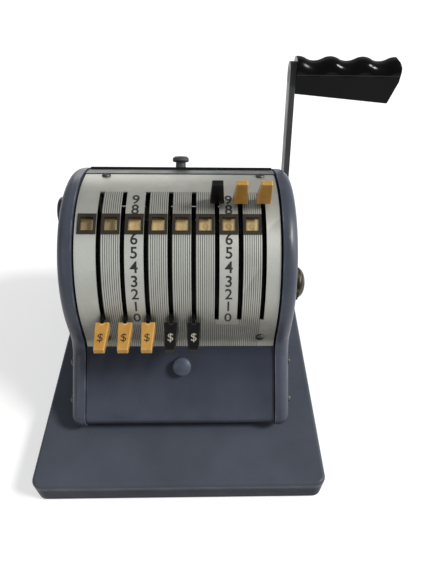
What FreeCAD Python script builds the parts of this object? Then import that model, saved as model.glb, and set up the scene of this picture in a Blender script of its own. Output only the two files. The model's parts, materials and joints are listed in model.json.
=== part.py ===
import FreeCAD, Part

import math
import os
import re

import Sketcher
from FreeCAD import Placement, Rotation, Vector

# Desk check writer. Millimetres, +Z up, +X to the right of the user, the user sits at -Y.
# The origin is the centre of the whole machine's footprint, handle included, on the desk.
# Angles round the drum are measured in degrees from straight ahead (-Y), positive upwards.

DOC = FreeCAD.newDocument("check_writer")
SHEET = DOC.addObject("Spreadsheet::Sheet", "Sizes")
WORKING = DOC.addObject("Spreadsheet::Sheet", "Working")

X_AXIS = Vector(1, 0, 0)
Y_AXIS = Vector(0, 1, 0)

COLUMNS = 8
LOW_LEVERS = 5

DRIVING = {
    # base
    "base_width": 222.0,
    "base_depth": 270.0,
    "base_height": 22.5,
    "base_corner": 8.0,
    "base_edge": 3.0,
    "base_wall": 6.0,
    "table_thick": 5.0,
    "table_clearance": 1.0,
    "cover_thick": 1.5,
    "cover_gap": 0.5,
    "foot_height": 2.5,
    "foot_radius": 9.0,
    "foot_inset": 20.0,
    "foot_boss": 6.0,
    "foot_bore": 4.4,
    "foot_neck": 5.9,
    "foot_counterbore": 2.4,
    "screw_boss": 5.0,
    "cover_screw_inset": 12.0,
    "bolt_inset": 16.0,
    "pilot_depth": 7.5,
    # body shell
    "end_room": 3.5,
    "cheek_thick": 11.6,
    "cheek_round": 8.0,
    "cheek_proud": 1.8,
    "face_radius": 74.3,
    "drum_y": 28.5,
    "drum_height": 79.3,
    "bend_drop": 16.3,
    "bend_radius": 20.0,
    "slope": 48.2,
    "lip_radius": 6.0,
    "throat_gap": 4.5,
    "throat_end_y": 50.0,
    "lug_length": 7.5,
    "lug_size": 8.0,
    "lug_low": 20.0,
    "lug_drop": 12.0,
    "apron_thick": 2.5,
    "apron_gap": 0.6,
    "apron_return": 8.0,
    "flange_rise": 7.0,
    "ear_thick": 2.8,
    "ear_width": 22.0,
    "ear_low": 12.0,
    "ear_inside": 1.2,
    "ear_bevel": 4.5,
    "ear_high": 43.5,
    "ear_screw_low": 19.0,
    "ear_screw_high": 39.0,
    "ear_screw_depth": 13.0,
    "rear_cover_thick": 1.5,
    "rear_cover_height": 80.0,
    "rear_flange": 14.0,
    # face plate, its slots and windows
    "plate_thick": 1.2,
    "plate_gap": 1.5,
    "plate_top": 105.3,
    "plate_bend": 22.0,
    "plate_backing": 0.9,
    "plate_screw_spread": 59.5,
    "low_screw_lift": 0.12,
    "low_screw_height": 2.4,
    "slot_pitch": 16.8,
    "slot_shift": 2.5,
    "slot_width": 3.4,
    "slot_low": 4.8,
    "slot_high": 84.2,
    "window_angle": 62.0,
    "window_offset": 8.4,
    "frame_width": 13.2,
    "frame_span": 12.0,
    "frame_proud": 0.7,
    "frame_wall": 0.9,
    "frame_wall_span": 0.7,
    "opening_width": 11.2,
    "opening_span": 9.4,
    "frame_fit": 0.1,
    "lens_thick": 1.0,
    "lens_sunk": 0.6,
    "bridge_thick": 2.0,
    "bridge_rise": 0.6,
    "bridge_lug_width": 14.0,
    # levers and type wheels
    "lever_low": 7.0,
    "lever_step": 8.04,
    "lever_thick": 2.4,
    "lever_height": 5.2,
    "lever_root": 58.0,
    "tongue_length": 15.0,
    "tongue_bend": 6.4,
    "tongue_low": 9.6,
    "tongue_high": 7.6,
    "band_radius": 69.0,
    "band_thick": 2.5,
    "web_radius": 66.6,
    "type_radius": 73.5,
    "type_depth": 13.5,
    "wheel_hub_radius": 13.0,
    "column_gap": 1.0,
    "band_margin": 4.4,
    "type_margin": 3.4,
    "axle_radius": 8.0,
    "axle_seat": 5.0,
    "collar_wall": 4.0,
    "running_fit": 0.05,
    "detent_angle": 155.0,
    "detent_radius": 62.0,
    "detent_bar_size": 8.0,
    "detent_spring_width": 6.0,
    "detent_spring_thick": 0.5,
    # lever tabs
    "tab_start": 77.9,
    "tab_length": 21.6,
    "tab_root_width": 10.4,
    "tab_tip_width": 7.7,
    "tab_root_low": 9.4,
    "tab_root_high": 1.1,
    "tab_tip_low": 12.0,
    "tab_tip_high": 7.8,
    "tab_edge": 0.7,
    # handle
    "crank_y": 71.1,
    "crank_height": 80.4,
    "crank_radius": 6.0,
    "crank_thread": 8.0,
    "bush_wall": 3.0,
    "arm_gap": 1.7,
    "arm_thick": 4.8,
    "arm_length": 129.5,
    "arm_over": 3.0,
    "arm_width": 14.0,
    "arm_eye": 13.0,
    "arm_lean": 22.7,
    "grip_length": 84.5,
    "grip_depth": 21.0,
    "grip_left_height": 25.7,
    "grip_right_height": 33.5,
    "grip_crest": 13.8,
    "grip_lead": 1.4,
    "grip_pitch": 26.6,
    "grip_wave": 3.4,
    "grip_round": 9.2,
    "grip_shoulder": 6.0,
    "grip_end_round": 7.1,
    "grip_end_drop": 15.0,
    "grip_slant": 7.0,
    "grip_edge": 1.2,
    "grip_bolt_radius": 4.0,
    "grip_bolt_head": 6.0,
    "grip_bolt_sunk": 2.2,
    "grip_bolt_reach": 29.0,
    "nut_radius": 10.0,
    "nut_height": 11.0,
    # press mechanism
    "press_lift": 4.8,
    "press_angle": 65.0,
    "cam_radius": 11.5,
    "cam_hub": 10.0,
    "cam_thick": 2.2,
    "roller_radius": 5.0,
    "roller_gap": 0.5,
    "yoke_thick": 2.2,
    "yoke_width": 16.0,
    "yoke_top": 11.0,
    "yoke_play": 0.8,
    "side_clearance": 0.3,
    "platen_width": 10.0,
    "platen_length": 140.0,
    "platen_foot": 3.5,
    "return_wire": 0.9,
    "return_radius": 7.6,
    # lock, cap and button
    "lock_y": -21.0,
    "lock_height": 100.6,
    "bezel_radius": 13.5,
    "bezel_proud": 7.6,
    "bezel_flange": 2.4,
    "bezel_dome": 9.0,
    "sleeve_radius": 9.5,
    "barrel_radius": 6.0,
    "barrel_tail": 3.0,
    "finger_length": 14.0,
    "cap_y": 25.0,
    "cap_height": 131.0,
    "cap_radius": 12.0,
    "cap_spigot": 8.0,
    "cap_proud": 5.7,
    "button_x": 1.0,
    "button_height": 43.4,
    "button_radius": 7.1,
    "button_proud": 7.5,
    "button_crown": 1.6,
    "button_play": 0.6,
    "button_flange": 1.5,
    "button_stem": 3.0,
    "button_wire": 0.8,
    "button_coil": 4.6,
    "bracket_depth": 13.0,
    "bracket_half": 13.0,
    "bracket_width": 10.0,
    "bracket_thick": 1.2,
    # ribbon
    "ribbon_cover_start": 119.8,
    "ribbon_cover_end": 175.0,
    "ribbon_cover_thick": 1.4,
    "ribbon_cover_gap": 0.9,
    "ribbon_cover_lip": 0.3,
    "hinge_angle": 175.0,
    "hinge_radius": 73.2,
    "hinge_pin_radius": 1.6,
    "hinge_curl_radius": 3.1,
    "knob_x": -1.0,
    "knob_angle": 126.0,
    "knob_shank": 3.0,
    "knob_neck": 4.3,
    "knob_head_radius": 6.8,
    "knob_height": 9.2,
    "spool_radius": 8.5,
    "spool_flange": 9.5,
    "spool_flange_thick": 1.5,
    "spool_half": 66.0,
    "front_spool_y": -50.0,
    "front_spool_height": 17.0,
    "rear_spool_y": 91.0,
    "rear_spool_height": 21.5,
    "spindle_radius": 2.5,
    "front_rod_y": -20.0,
    "front_rod_height": 14.0,
    "rear_rod_inset": 5.7,
    "rear_rod_height": 6.0,
    "rod_radius": 4.0,
    "rod_seat": 4.0,
    "guide_spread": 28.5,
    "guide_height": 7.9,
    "guide_radius": 2.5,
    "ribbon_thick": 0.25,
    "ribbon_gap": 0.4,
    # fasteners
    "screw_radius": 2.0,
    "screw_head_radius": 4.0,
    "small_head_radius": 3.4,
    "screw_slot": 1.0,
}

DERIVED = {
    "cheek_inner": "wheel_low_x - first_slot_x + side_clearance + end_room",
    "cheek_outer": "cheek_inner + cheek_thick",
    "mid_x": "-(grip_x + grip_length - base_width / 2) / 2",
    "table_z": "foot_height + base_height",
    "cover_z": "foot_height + cover_gap",
    "cover_seat": "cover_gap + cover_thick",
    "drum_z": "table_z + drum_height",
    "cheek_radius": "face_radius + cheek_proud",
    "plate_half": "cheek_inner - plate_gap",
    "apron_half": "cheek_inner - apron_gap",
    "throat_z": "table_z + throat_gap",
    "bend_z": "drum_z - bend_drop",
    "bend_y": "drum_y - face_radius - bend_radius",
    "slope_y": "bend_y + bend_radius * cos(slope)",
    "slope_z": "bend_z - bend_radius * sin(slope)",
    "lip_z": "throat_z + cheek_proud + lip_radius",
    "lip_top_z": "lip_z + lip_radius * sin(slope)",
    "lip_y": "slope_y - (slope_z - lip_top_z) * tan(slope) + lip_radius * cos(slope)",
    "rear_y": "drum_y + cheek_radius - cheek_proud / 2",
    "rear_cover_top": "table_z + rear_cover_height",
    "crank_z": "table_z + crank_height",
    "bezel_face": "cheek_outer + bezel_proud",
    "lock_z": "table_z + lock_height",
    "cap_z": "table_z + cap_height",
    "front_spool_z": "table_z + front_spool_height",
    "rear_spool_z": "table_z + rear_spool_height",
    "guide_z": "table_z + guide_height",
    "lever_travel": "9 * lever_step",
    "wheel_low_x": "slot_pitch - column_gap - lever_thick / 2",
    "first_slot_x": "slot_shift - 3.5 * slot_pitch",
    "last_slot_x": "slot_shift + 3.5 * slot_pitch",
    "band_start": "window_angle - lever_low - lever_travel - band_margin",
    "band_end": "window_angle - lever_low + band_margin",
    "type_start": "-90 - lever_low - lever_travel - type_margin",
    "type_end": "-90 - lever_low + type_margin",
    "yoke_x": "cheek_inner - side_clearance - yoke_thick",
    "cam_x": "yoke_x - side_clearance - cam_thick",
    "roller_z": "crank_z + cam_radius + roller_gap + roller_radius",
    "platen_z": "cover_z + cover_thick + side_clearance",
    "arm_x": "cheek_outer + arm_gap",
    "grip_x": "arm_x + arm_thick",
    "bore_radius": "screw_radius + running_fit",
    "eye_width": "opening_width - 2 * (frame_fit + frame_wall)",
    "eye_span": "opening_span - 2 * (frame_fit + frame_wall_span)",
    "cover_top": "ribbon_cover_gap + ribbon_cover_thick",
}

ALIASES = set(DRIVING) | set(DERIVED)
KNOWN = {}


def named(formula):
    """A formula of size names as a FreeCAD expression on the sheet."""
    return re.sub(r"[a-z][a-z0-9_]*", lambda m: "Sizes." + m[0] if m[0] in ALIASES else m[0], str(formula))


def number(formula):
    """The present value of a formula of size names."""
    formula = str(formula)
    if formula not in KNOWN:
        WORKING.set("A1", "=" + named(formula))
        WORKING.recompute()
        KNOWN[formula] = float(WORKING.get("A1"))
    return KNOWN[formula]


def write_sheet():
    for row, (alias, value) in enumerate(list(DRIVING.items()) + list(DERIVED.items()), start=1):
        SHEET.set(f"A{row}", alias)
        SHEET.set(f"B{row}", str(value) if alias in DRIVING else "0")
        SHEET.setAlias(f"B{row}", alias)
    DOC.recompute()
    for row, (alias, formula) in enumerate(DERIVED.items(), start=1 + len(DRIVING)):
        SHEET.set(f"B{row}", "=" + formula)
    DOC.recompute()


def bind(thing, **formulas):
    for prop, formula in formulas.items():
        thing.setExpression(prop, named(formula))


def put(thing, at=("0", "0", "0"), turn=None):
    """Places an object. `turn` is (axis, angle formula); X is measured from the body's mid-plane."""
    axis, angle = turn or (X_AXIS, "0")
    thing.Placement = Placement(Vector(0, 0, 0), Rotation(axis, number(angle)))
    if any(alias in ALIASES for alias in re.findall(r"[a-z_]+", angle)):
        thing.setExpression("Placement.Rotation.Angle", named(angle))
    thing.setExpression("Placement.Base.x", named(f"mid_x + ({at[0]})"))
    thing.setExpression("Placement.Base.y", named(at[1]))
    thing.setExpression("Placement.Base.z", named(at[2]))
    return thing


# ---- PartDesign helpers -------------------------------------------------------------------------


def body(label, at=("0", "0", "0"), turn=None):
    made = DOC.addObject("PartDesign::Body", label)
    made.Label = label
    return put(made, at, turn)


def sketch(owner, role, height="0"):
    """An empty sketch on one of the body's origin planes, `height` along the plane's normal."""
    plane = next(f for f in owner.Origin.OriginFeatures if f.Role == role)
    made = owner.newObject("Sketcher::SketchObject", owner.Name + "_sketch")
    made.AttachmentSupport = [(plane, "")]
    made.MapMode = "FlatFace"
    made.AttachmentOffset = Placement(Vector(0, 0, number(height)), Rotation())
    made.setExpression("AttachmentOffset.Base.z", named(height))
    return made


def hold(drawn, kind, geometry, point, formula):
    index = drawn.addConstraint(Sketcher.Constraint(kind, geometry, point, number(formula)))
    drawn.setExpression(f"Constraints[{index}]", named(formula))


def hold_radius(drawn, geometry, formula):
    index = drawn.addConstraint(Sketcher.Constraint("Radius", geometry, number(formula)))
    drawn.setExpression(f"Constraints[{index}]", named(formula))


def arc_between(start, end, radius, side):
    """The minor arc from start to end, and which of its ends is the start. Its centre is on `side`."""
    chord = end - start
    normal = Vector(-chord.y, chord.x, 0).normalize()
    rise = math.sqrt(max(radius**2 - (chord.Length / 2) ** 2, 0.0))
    centre = (start + end) * 0.5 + normal * (rise if side == "left" else -rise)
    angles = [math.atan2(p.y - centre.y, p.x - centre.x) for p in (start, end)]
    whole = Part.Circle(centre, Vector(0, 0, 1), radius)
    if side == "left":
        return Part.ArcOfCircle(whole, *angles), 1, 2
    return Part.ArcOfCircle(whole, angles[1], angles[0]), 2, 1


def outline(drawn, corners, arcs=None):
    """A closed outline through corners, pairs of formulas. arcs[i] = (radius, side) bends segment i."""
    arcs = arcs or {}
    points = [Vector(number(u), number(v), 0) for u, v in corners]
    ends = []
    for i, start in enumerate(points):
        end = points[(i + 1) % len(points)]
        if i in arcs:
            radius, side = arcs[i]
            curve, first, last = arc_between(start, end, number(radius), side)
        else:
            curve, first, last = Part.LineSegment(start, end), 1, 2
        ends.append((drawn.addGeometry(curve), first, last))
    for i, (geometry, _, last) in enumerate(ends):
        following, first, _ = ends[(i + 1) % len(ends)]
        drawn.addConstraint(Sketcher.Constraint("Coincident", geometry, last, following, first))
    for (geometry, first, _), (u, v) in zip(ends, corners):
        hold(drawn, "DistanceX", geometry, first, u)
        hold(drawn, "DistanceY", geometry, first, v)
    for i, (radius, _) in arcs.items():
        hold_radius(drawn, ends[i][0], radius)


def rectangle(near, far, low, high):
    """The four corners between two values across and two values up."""
    return [(near, low), (far, low), (far, high), (near, high)]


def centred(half_x, half_y):
    return rectangle(f"-({half_x})", half_x, f"-({half_y})", half_y)


def circle(drawn, u, v, radius):
    centre = Vector(number(u), number(v), 0)
    geometry = drawn.addGeometry(Part.Circle(centre, Vector(0, 0, 1), number(radius)))
    hold(drawn, "DistanceX", geometry, 3, u)
    hold(drawn, "DistanceY", geometry, 3, v)
    hold_radius(drawn, geometry, radius)


def circles(drawn, places, radius):
    for u, v in places:
        circle(drawn, u, v, radius)


def pad(owner, drawn, length, symmetric=False):
    made = owner.newObject("PartDesign::Pad", owner.Name + "_pad")
    made.Profile = drawn
    made.SideType = "Symmetric" if symmetric else "One side"
    bind(made, Length=length)
    DOC.recompute()
    return made


def pocket(owner, drawn, length=None, symmetric=False, reverse=False):
    """Cuts the sketch out of the body, right through if no length is given, and checks that it cut."""
    before = owner.Shape.Volume
    made = owner.newObject("PartDesign::Pocket", owner.Name + "_pocket")
    made.Profile = drawn
    made.SideType = "Symmetric" if symmetric else "One side"
    made.Reversed = reverse
    if length is None:
        made.Type = "ThroughAll"
        made.SideType = "Symmetric"
    else:
        bind(made, Length=length)
    DOC.recompute()
    if owner.Shape.Volume >= before - 1e-6:
        raise ValueError(f"{made.Label} cuts nothing")
    return made


def fillet(owner, feature, radius, wanted):
    """Rounds the edges of the body for which wanted(edge's bounding box) is true."""
    edges = [f"Edge{i}" for i, e in enumerate(feature.Shape.Edges, start=1) if wanted(e.BoundBox)]
    made = owner.newObject("PartDesign::Fillet", owner.Name + "_fillet")
    made.Base = (feature, edges)
    bind(made, Radius=radius)
    DOC.recompute()
    return made


def row_of(owner, feature, role, length, count):
    """Repeats a feature along one of the body's axes."""
    axis = next(f for f in owner.Origin.OriginFeatures if f.Role == role)
    made = owner.newObject("PartDesign::LinearPattern", owner.Name + "_row")
    made.Originals = [feature]
    made.Direction = (axis, [""])
    bind(made, Length=length)
    made.Occurrences = count
    owner.Tip = made
    DOC.recompute()
    return made


def turned(label, corners, at, turn=None, arcs=None):
    """A turned piece: corners are (radius, height) about local Z, then placed."""
    made = body(label, at, turn)
    drawn = sketch(made, "XZ_Plane")
    outline(drawn, corners, arcs)
    spun = made.newObject("PartDesign::Revolution", label + "_turning")
    spun.Profile = drawn
    spun.ReferenceAxis = (drawn, ["V_Axis"])
    spun.Angle = 360
    DOC.recompute()
    return made


def profile_along_x(label, corners, arcs, width, start=None):
    """A bar or sheet of one section along X, centred on the mid-plane, or from `start`."""
    made = body(label, (start or "0", "0", "0"))
    drawn = sketch(made, "YZ_Plane")
    outline(drawn, corners, arcs)
    pad(made, drawn, width, symmetric=start is None)
    return made


# ---- Part helpers -------------------------------------------------------------------------------

ALONG_X = (Y_AXIS, "90")
AGAINST_X = (Y_AXIS, "-90")
TO_THE_REAR = (X_AXIS, "-90")
BUTTON_TILT = (X_AXIS, "90 - slope")
SIDES = {"left": "-1", "right": "1"}


def cylinder(name, radius, length, at=("0", "0", "0"), turn=None):
    made = DOC.addObject("Part::Cylinder", name)
    bind(made, Radius=radius, Height=length)
    return put(made, at, turn)


def box(name, size, at=("0", "0", "0"), turn=None):
    made = DOC.addObject("Part::Box", name)
    bind(made, Length=size[0], Width=size[1], Height=size[2])
    return put(made, at, turn)


def fuse(label, *pieces):
    made = DOC.addObject("Part::MultiFuse", label)
    made.Shapes = list(pieces)
    made.Refine = True
    made.Label = label
    return made


def cut(label, base, *tools):
    made = DOC.addObject("Part::Cut", label)
    made.Base = base
    made.Tool = tools[0] if len(tools) == 1 else fuse(label + "_tools", *tools)
    made.Label = label
    return made


def group(label, pieces):
    made = DOC.addObject("Part::Compound", label)
    made.Links = list(pieces)
    made.Label = label
    return made


def rod(label, radius, length, at, turn=ALONG_X):
    return turned(label, rectangle("0", radius, "0", length), at, turn)


def tube(label, bore, rim, length, at, turn=ALONG_X):
    return turned(label, rectangle(bore, rim, "0", length), at, turn)


# ---- geometry shared by several pieces ----------------------------------------------------------


def on_drum(radius, angle):
    """(y, z) formulas of a point at this radius from the drum's axis, at this angle."""
    return f"drum_y - ({radius}) * cos({angle})", f"drum_z + ({radius}) * sin({angle})"


def drum_strip(inner, outer, low, high):
    """Corners and arcs of a strip of a drum-shaped sheet between two radii and two angles."""
    corners = [on_drum(inner, low), on_drum(outer, low), on_drum(outer, high), on_drum(inner, high)]
    return corners, {1: (outer, "right"), 3: (inner, "left")}


def on_bend(inside, angle):
    """(y, z) of a point on the bend below the face plate, `inside` mm behind its outer surface."""
    radius = f"(bend_radius + {inside})"
    return f"bend_y + {radius} * cos({angle})", f"bend_z - {radius} * sin({angle})"


def lip_start(inside):
    """(y, z) where the apron's straight slope meets its rolled lip."""
    radius = f"(lip_radius - {inside})"
    return f"lip_y - {radius} * cos(slope)", f"lip_z + {radius} * sin(slope)"


def on_slope(height, inside):
    """(y, z) of a point on the apron's slope at this height above the table, moved back by `inside`."""
    z = f"(table_z + {height})"
    return f"slope_y - (slope_z - {z}) * tan(slope) + {inside}", z


def along_button(depth):
    """A point on the button's axis, `depth` mm outside the apron's slope."""
    y, z = on_slope("button_height", "0")
    return "button_x", f"{y} - ({depth}) * cos(slope)", f"{z} + ({depth}) * sin(slope)"


def screw(name, at, turn, length, head="screw_head_radius", rise="1.8"):
    """A slotted round-headed screw: its head rises along local +Z, and its shank runs the other way."""
    shape = [("0", f"-({length})"), ("screw_radius", f"-({length})"), ("screw_radius", "0"), (head, "0")]
    shape += [(head, f"0.35 * {rise}"), (f"0.85 * {head}", f"0.75 * {rise}"), (f"0.55 * {head}", rise)]
    made = turned(name, shape + [("0", rise)], at, turn)
    slot = sketch(made, "XY_Plane", rise)
    outline(slot, centred(f"{head} + 1", "screw_slot / 2"))
    pocket(made, slot, f"0.45 * {rise}")
    return made


def coil(label, wire, turns, length, radius, at, turn):
    """A coil spring of square wire, `length` from end to end, along the direction it is turned to."""
    side, free, mean = number(wire), number(length), number(radius)
    pitch = (free - side) / turns
    half = side / 2
    path = Part.Wire(Part.makeHelix(pitch, pitch * turns, mean))
    section = [Vector(mean + u * half, 0, v * half) for u, v in ((-1, -1), (1, -1), (1, 1), (-1, 1))]
    made = DOC.addObject("Part::Feature", label)
    made.Label = label
    made.Shape = path.makePipeShell([Part.makePolygon(section + section[:1])], True, True)
    return put(made, at, turn)


# ---- base ---------------------------------------------------------------------------------------

CORNERS = [(x, y) for x in ("-1", "1") for y in ("-1", "1")]
FEET = [(f"{x} * (base_width / 2 - foot_inset)", f"{y} * (base_depth / 2 - foot_inset)") for x, y in CORNERS]
COVER_SCREWS = [
    (f"{x} * (base_width / 2 - cover_screw_inset)", f"{y} * (base_depth / 2 - 2 * foot_inset)")
    for x, y in CORNERS
]
CHEEK_BOLTS = [
    ("cheek_inner + cheek_thick / 2", "throat_end_y + bolt_inset"),
    ("cheek_inner + cheek_thick / 2", "rear_y - bolt_inset"),
]


def base_casting():
    """The hollow base: a table with rounded edges, bosses for feet and cover, and openings for the press."""
    made = body("base_casting", ("0", "0", "foot_height"))
    plan = sketch(made, "XY_Plane")
    outline(plan, centred("base_width / 2", "base_depth / 2"))
    block = pad(made, plan, "base_height")
    upright = fillet(made, block, "base_corner", lambda b: b.ZLength > 1)
    top = number("base_height") - 1e-3
    fillet(made, upright, "base_edge", lambda b: b.ZMin > top)
    inside = sketch(made, "XY_Plane")
    outline(inside, centred("base_width / 2 - base_wall", "base_depth / 2 - base_wall"))
    pocket(made, inside, "base_height - table_thick", reverse=True)
    bosses = sketch(made, "XY_Plane", "cover_seat")
    circles(bosses, COVER_SCREWS, "screw_boss")
    circles(bosses, FEET, "foot_boss")
    pad(made, bosses, "base_height - table_thick - cover_seat + 1")
    openings = sketch(made, "XY_Plane", "base_height")
    half_x, half_y = "(platen_length / 2 + table_clearance)", "(platen_width / 2 + table_clearance)"
    outline(openings, rectangle(f"-{half_x}", half_x, f"drum_y - {half_y}", f"drum_y + {half_y}"))
    half_y = "(yoke_width / 2 + table_clearance)"
    for side in SIDES.values():
        near, far = f"{side} * (yoke_x - table_clearance)", f"{side} * cheek_inner"
        outline(openings, rectangle(near, far, f"crank_y - {half_y}", f"crank_y + {half_y}"))
    for side in SIDES.values():
        circles(openings, [(f"{side} * ({x})", y) for x, y in CHEEK_BOLTS], "bore_radius")
    pocket(made, openings, "table_thick + 1")
    pilots = sketch(made, "XY_Plane", "cover_seat")
    circles(pilots, COVER_SCREWS + FEET, "bore_radius")
    pocket(made, pilots, "pilot_depth", reverse=True)
    return made


def bottom_cover():
    made = body("bottom_cover", ("0", "0", "cover_z"))
    plan = sketch(made, "XY_Plane")
    outline(plan, centred("base_width / 2 - base_wall - cover_gap", "base_depth / 2 - base_wall - cover_gap"))
    pad(made, plan, "cover_thick")
    holes = sketch(made, "XY_Plane")
    circles(holes, COVER_SCREWS, "bore_radius")
    circles(holes, FEET, "foot_boss + cover_gap")
    pocket(made, holes)
    return made


def rubber_feet():
    """Moulded feet, each held by a screw in a counterbore from below."""
    shape = [("bore_radius", "foot_counterbore"), ("foot_bore", "foot_counterbore"), ("foot_bore", "0")]
    shape += [("foot_radius - 1.5", "0"), ("foot_radius", "0.7 * foot_height"), ("foot_neck", "foot_height")]
    shape += [("foot_neck", "foot_height + cover_seat"), ("bore_radius", "foot_height + cover_seat")]
    return group("rubber_feet", [turned(f"foot_{i + 1}", shape, (x, y, "0")) for i, (x, y) in enumerate(FEET)])


def base_screws():
    """Identical screws: four hold the feet, four the bottom cover and four the side castings."""
    down = (X_AXIS, "180")
    made = []
    for i, (x, y) in enumerate(FEET):
        made.append(screw(f"foot_screw_{i + 1}", (x, y, "foot_counterbore"), down, "9"))
    for i, (x, y) in enumerate(COVER_SCREWS):
        made.append(screw(f"cover_screw_{i + 1}", (x, y, "cover_z"), down, "8"))
    for side, sign in SIDES.items():
        for i, (x, y) in enumerate(CHEEK_BOLTS):
            at = (f"{sign} * ({x})", y, "table_z - table_thick")
            made.append(screw(f"{side}_casting_screw_{i + 1}", at, down, "12"))
    return group("base_screws", made)


# ---- side castings, apron, covers ---------------------------------------------------------------

EAR_SCREWS = [on_slope(height, "ear_screw_depth") for height in ("ear_screw_high", "ear_screw_low")]
LUG_HEIGHTS = ["table_z + lug_low", "rear_cover_top - lug_drop"]
REAR_SCREWS = [(f"{side} * (cheek_inner - lug_length / 2)", z) for side in SIDES.values() for z in LUG_HEIGHTS]
CROSS_RODS = [("front_rod_y", "table_z + front_rod_height", "rod_radius")]
CROSS_RODS += [("rear_y - rear_rod_inset", "table_z + rear_rod_height", "rod_radius")]
CROSS_RODS += [(f"drum_y {sign} guide_spread", "guide_z", "guide_radius") for sign in "-+"]
SPINDLES = [("front_spool_y", "front_spool_z"), ("rear_spool_y", "rear_spool_z")]


def cheek_outline(drawn):
    """From the table at the rear, over the drum, down the apron's slope to the lip and back over the throat."""
    front, rear = "drum_y - cheek_radius", "drum_y + cheek_radius"
    corners = [(rear, "table_z"), (rear, "drum_z"), ("drum_y", "drum_z + cheek_radius"), (front, "drum_z")]
    corners += [(front, "bend_z"), on_bend("(-cheek_proud)", "slope"), lip_start("(-cheek_proud)")]
    corners += [("lip_y", "throat_z"), ("throat_end_y", "throat_z"), ("throat_end_y", "table_z")]
    arcs = {1: ("cheek_radius", "left"), 2: ("cheek_radius", "left"), 4: ("bend_radius - cheek_proud", "right")}
    arcs[6] = ("lip_radius + cheek_proud", "left")
    outline(drawn, corners, arcs)


def side_casting(side):
    """A side casting with a rounded outer rim, lugs for the rear cover, and seats for all cross pieces."""
    right = side == "right"
    made = body(f"{side}_side_casting", ("cheek_inner" if right else "-cheek_outer", "0", "0"))
    drawn = sketch(made, "YZ_Plane")
    cheek_outline(drawn)
    block = pad(made, drawn, "cheek_thick")
    outer_x = number("cheek_thick") if right else 0.0
    low_z, back_y = number("throat_z") + 0.1, number("lip_y") + 1

    def outer_rim(b):
        on_face = abs(b.XMin - outer_x) < 1e-4 and abs(b.XMax - outer_x) < 1e-4
        return on_face and not (b.ZMax < low_z and b.YMax > back_y)

    fillet(made, block, "cheek_round", outer_rim)
    inner_face = "0" if right else "cheek_thick"
    lugs = sketch(made, "YZ_Plane", "-lug_length" if right else "cheek_thick")
    back = "rear_y - rear_cover_thick"
    for z in LUG_HEIGHTS:
        outline(lugs, rectangle(f"{back} - lug_size", back, f"{z} - lug_size / 2", f"{z} + lug_size / 2"))
    pad(made, lugs, "lug_length")
    threads = sketch(made, "XZ_Plane", f"-({back})")
    middle = "-lug_length / 2" if right else "cheek_thick + lug_length / 2"
    circles(threads, [(middle, z) for z in LUG_HEIGHTS], "bore_radius")
    pocket(made, threads, "lug_size", reverse=True)
    holes = sketch(made, "YZ_Plane")
    circle(holes, "crank_y", "crank_z", "crank_radius + bush_wall")
    circles(holes, EAR_SCREWS, "bore_radius")
    if right:
        circle(holes, "lock_y", "lock_z", "sleeve_radius + running_fit")
    else:
        circle(holes, "cap_y", "cap_z", "cap_spigot + running_fit")
    pocket(made, holes)
    axle = sketch(made, "YZ_Plane", inner_face)
    circle(axle, "drum_y", "drum_z", "axle_radius + running_fit")
    pocket(made, axle, "axle_seat", reverse=right)
    rods = sketch(made, "YZ_Plane", inner_face)
    for y, z, radius in CROSS_RODS:
        circle(rods, y, z, f"{radius} + running_fit")
    circles(rods, SPINDLES, "spindle_radius + running_fit")
    pocket(made, rods, "rod_seat", reverse=right)
    bolts = sketch(made, "XY_Plane", "table_z")
    circles(bolts, [("cheek_thick / 2", y) for _, y in CHEEK_BOLTS], "bore_radius")
    pocket(made, bolts, "pilot_depth + 0.5", reverse=True)
    return made


def front_apron():
    """The sheet front: bend, slope and rolled lip, with an ear at each end and a flange behind the plate."""
    thick, top = "apron_thick", "(plate_bend + 1)"
    low, high = "lip_z - lip_radius", f"lip_z - lip_radius + {thick}"
    corners = [on_bend("0", top), on_bend("0", "slope"), lip_start("0"), ("lip_y", low)]
    corners += [("lip_y + apron_return", low), ("lip_y + apron_return", high), ("lip_y", high)]
    corners += [lip_start(thick), on_bend(thick, "slope"), on_bend(thick, top)]
    arcs = {0: ("bend_radius", "right"), 2: ("lip_radius", "left"), 6: (f"lip_radius - {thick}", "right")}
    arcs[8] = (f"bend_radius + {thick}", "left")
    sheet = profile_along_x("apron_sheet", corners, arcs, "2 * apron_half")
    near, far = "(plate_thick + 0.1)", "(plate_thick + 0.1 + plate_backing)"
    corners = [on_bend(near, "slope"), on_bend(far, "slope"), on_bend(far, "0")]
    corners += [(f"bend_y + bend_radius + {far}", "bend_z + flange_rise")]
    corners += [(f"bend_y + bend_radius + {near}", "bend_z + flange_rise"), on_bend(near, "0")]
    arcs = {1: (f"bend_radius + {far}", "left"), 5: (f"bend_radius + {near}", "right")}
    flange = profile_along_x("apron_flange", corners, arcs, "2 * plate_half - 4")
    corners = [on_slope("ear_high", "ear_inside"), on_slope("ear_low + ear_bevel", "ear_inside")]
    corners += [on_slope("ear_low", "ear_inside + ear_bevel"), on_slope("ear_low", "ear_width")]
    corners += [on_slope("ear_high", "ear_width")]
    ears = [
        profile_along_x("apron_left_ear", corners, {}, "ear_thick", "-apron_half"),
        profile_along_x("apron_right_ear", corners, {}, "ear_thick", "apron_half - ear_thick"),
    ]
    bores = []
    for side, sign in SIDES.items():
        for i, (y, z) in enumerate(EAR_SCREWS):
            at = (f"{sign} * apron_half - 1.5 * ear_thick", y, z)
            bores.append(cylinder(f"apron_{side}_bore_{i + 1}", "screw_radius", "3 * ear_thick", at, ALONG_X))
    bores.append(cylinder("button_bore", "button_radius + 0.3", "20", along_button("-8"), BUTTON_TILT))
    bores += plate_screw_bores("apron", "screw_radius", ["low"])
    return cut("front_apron", fuse("apron_whole", sheet, flange, *ears), *bores)


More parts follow.
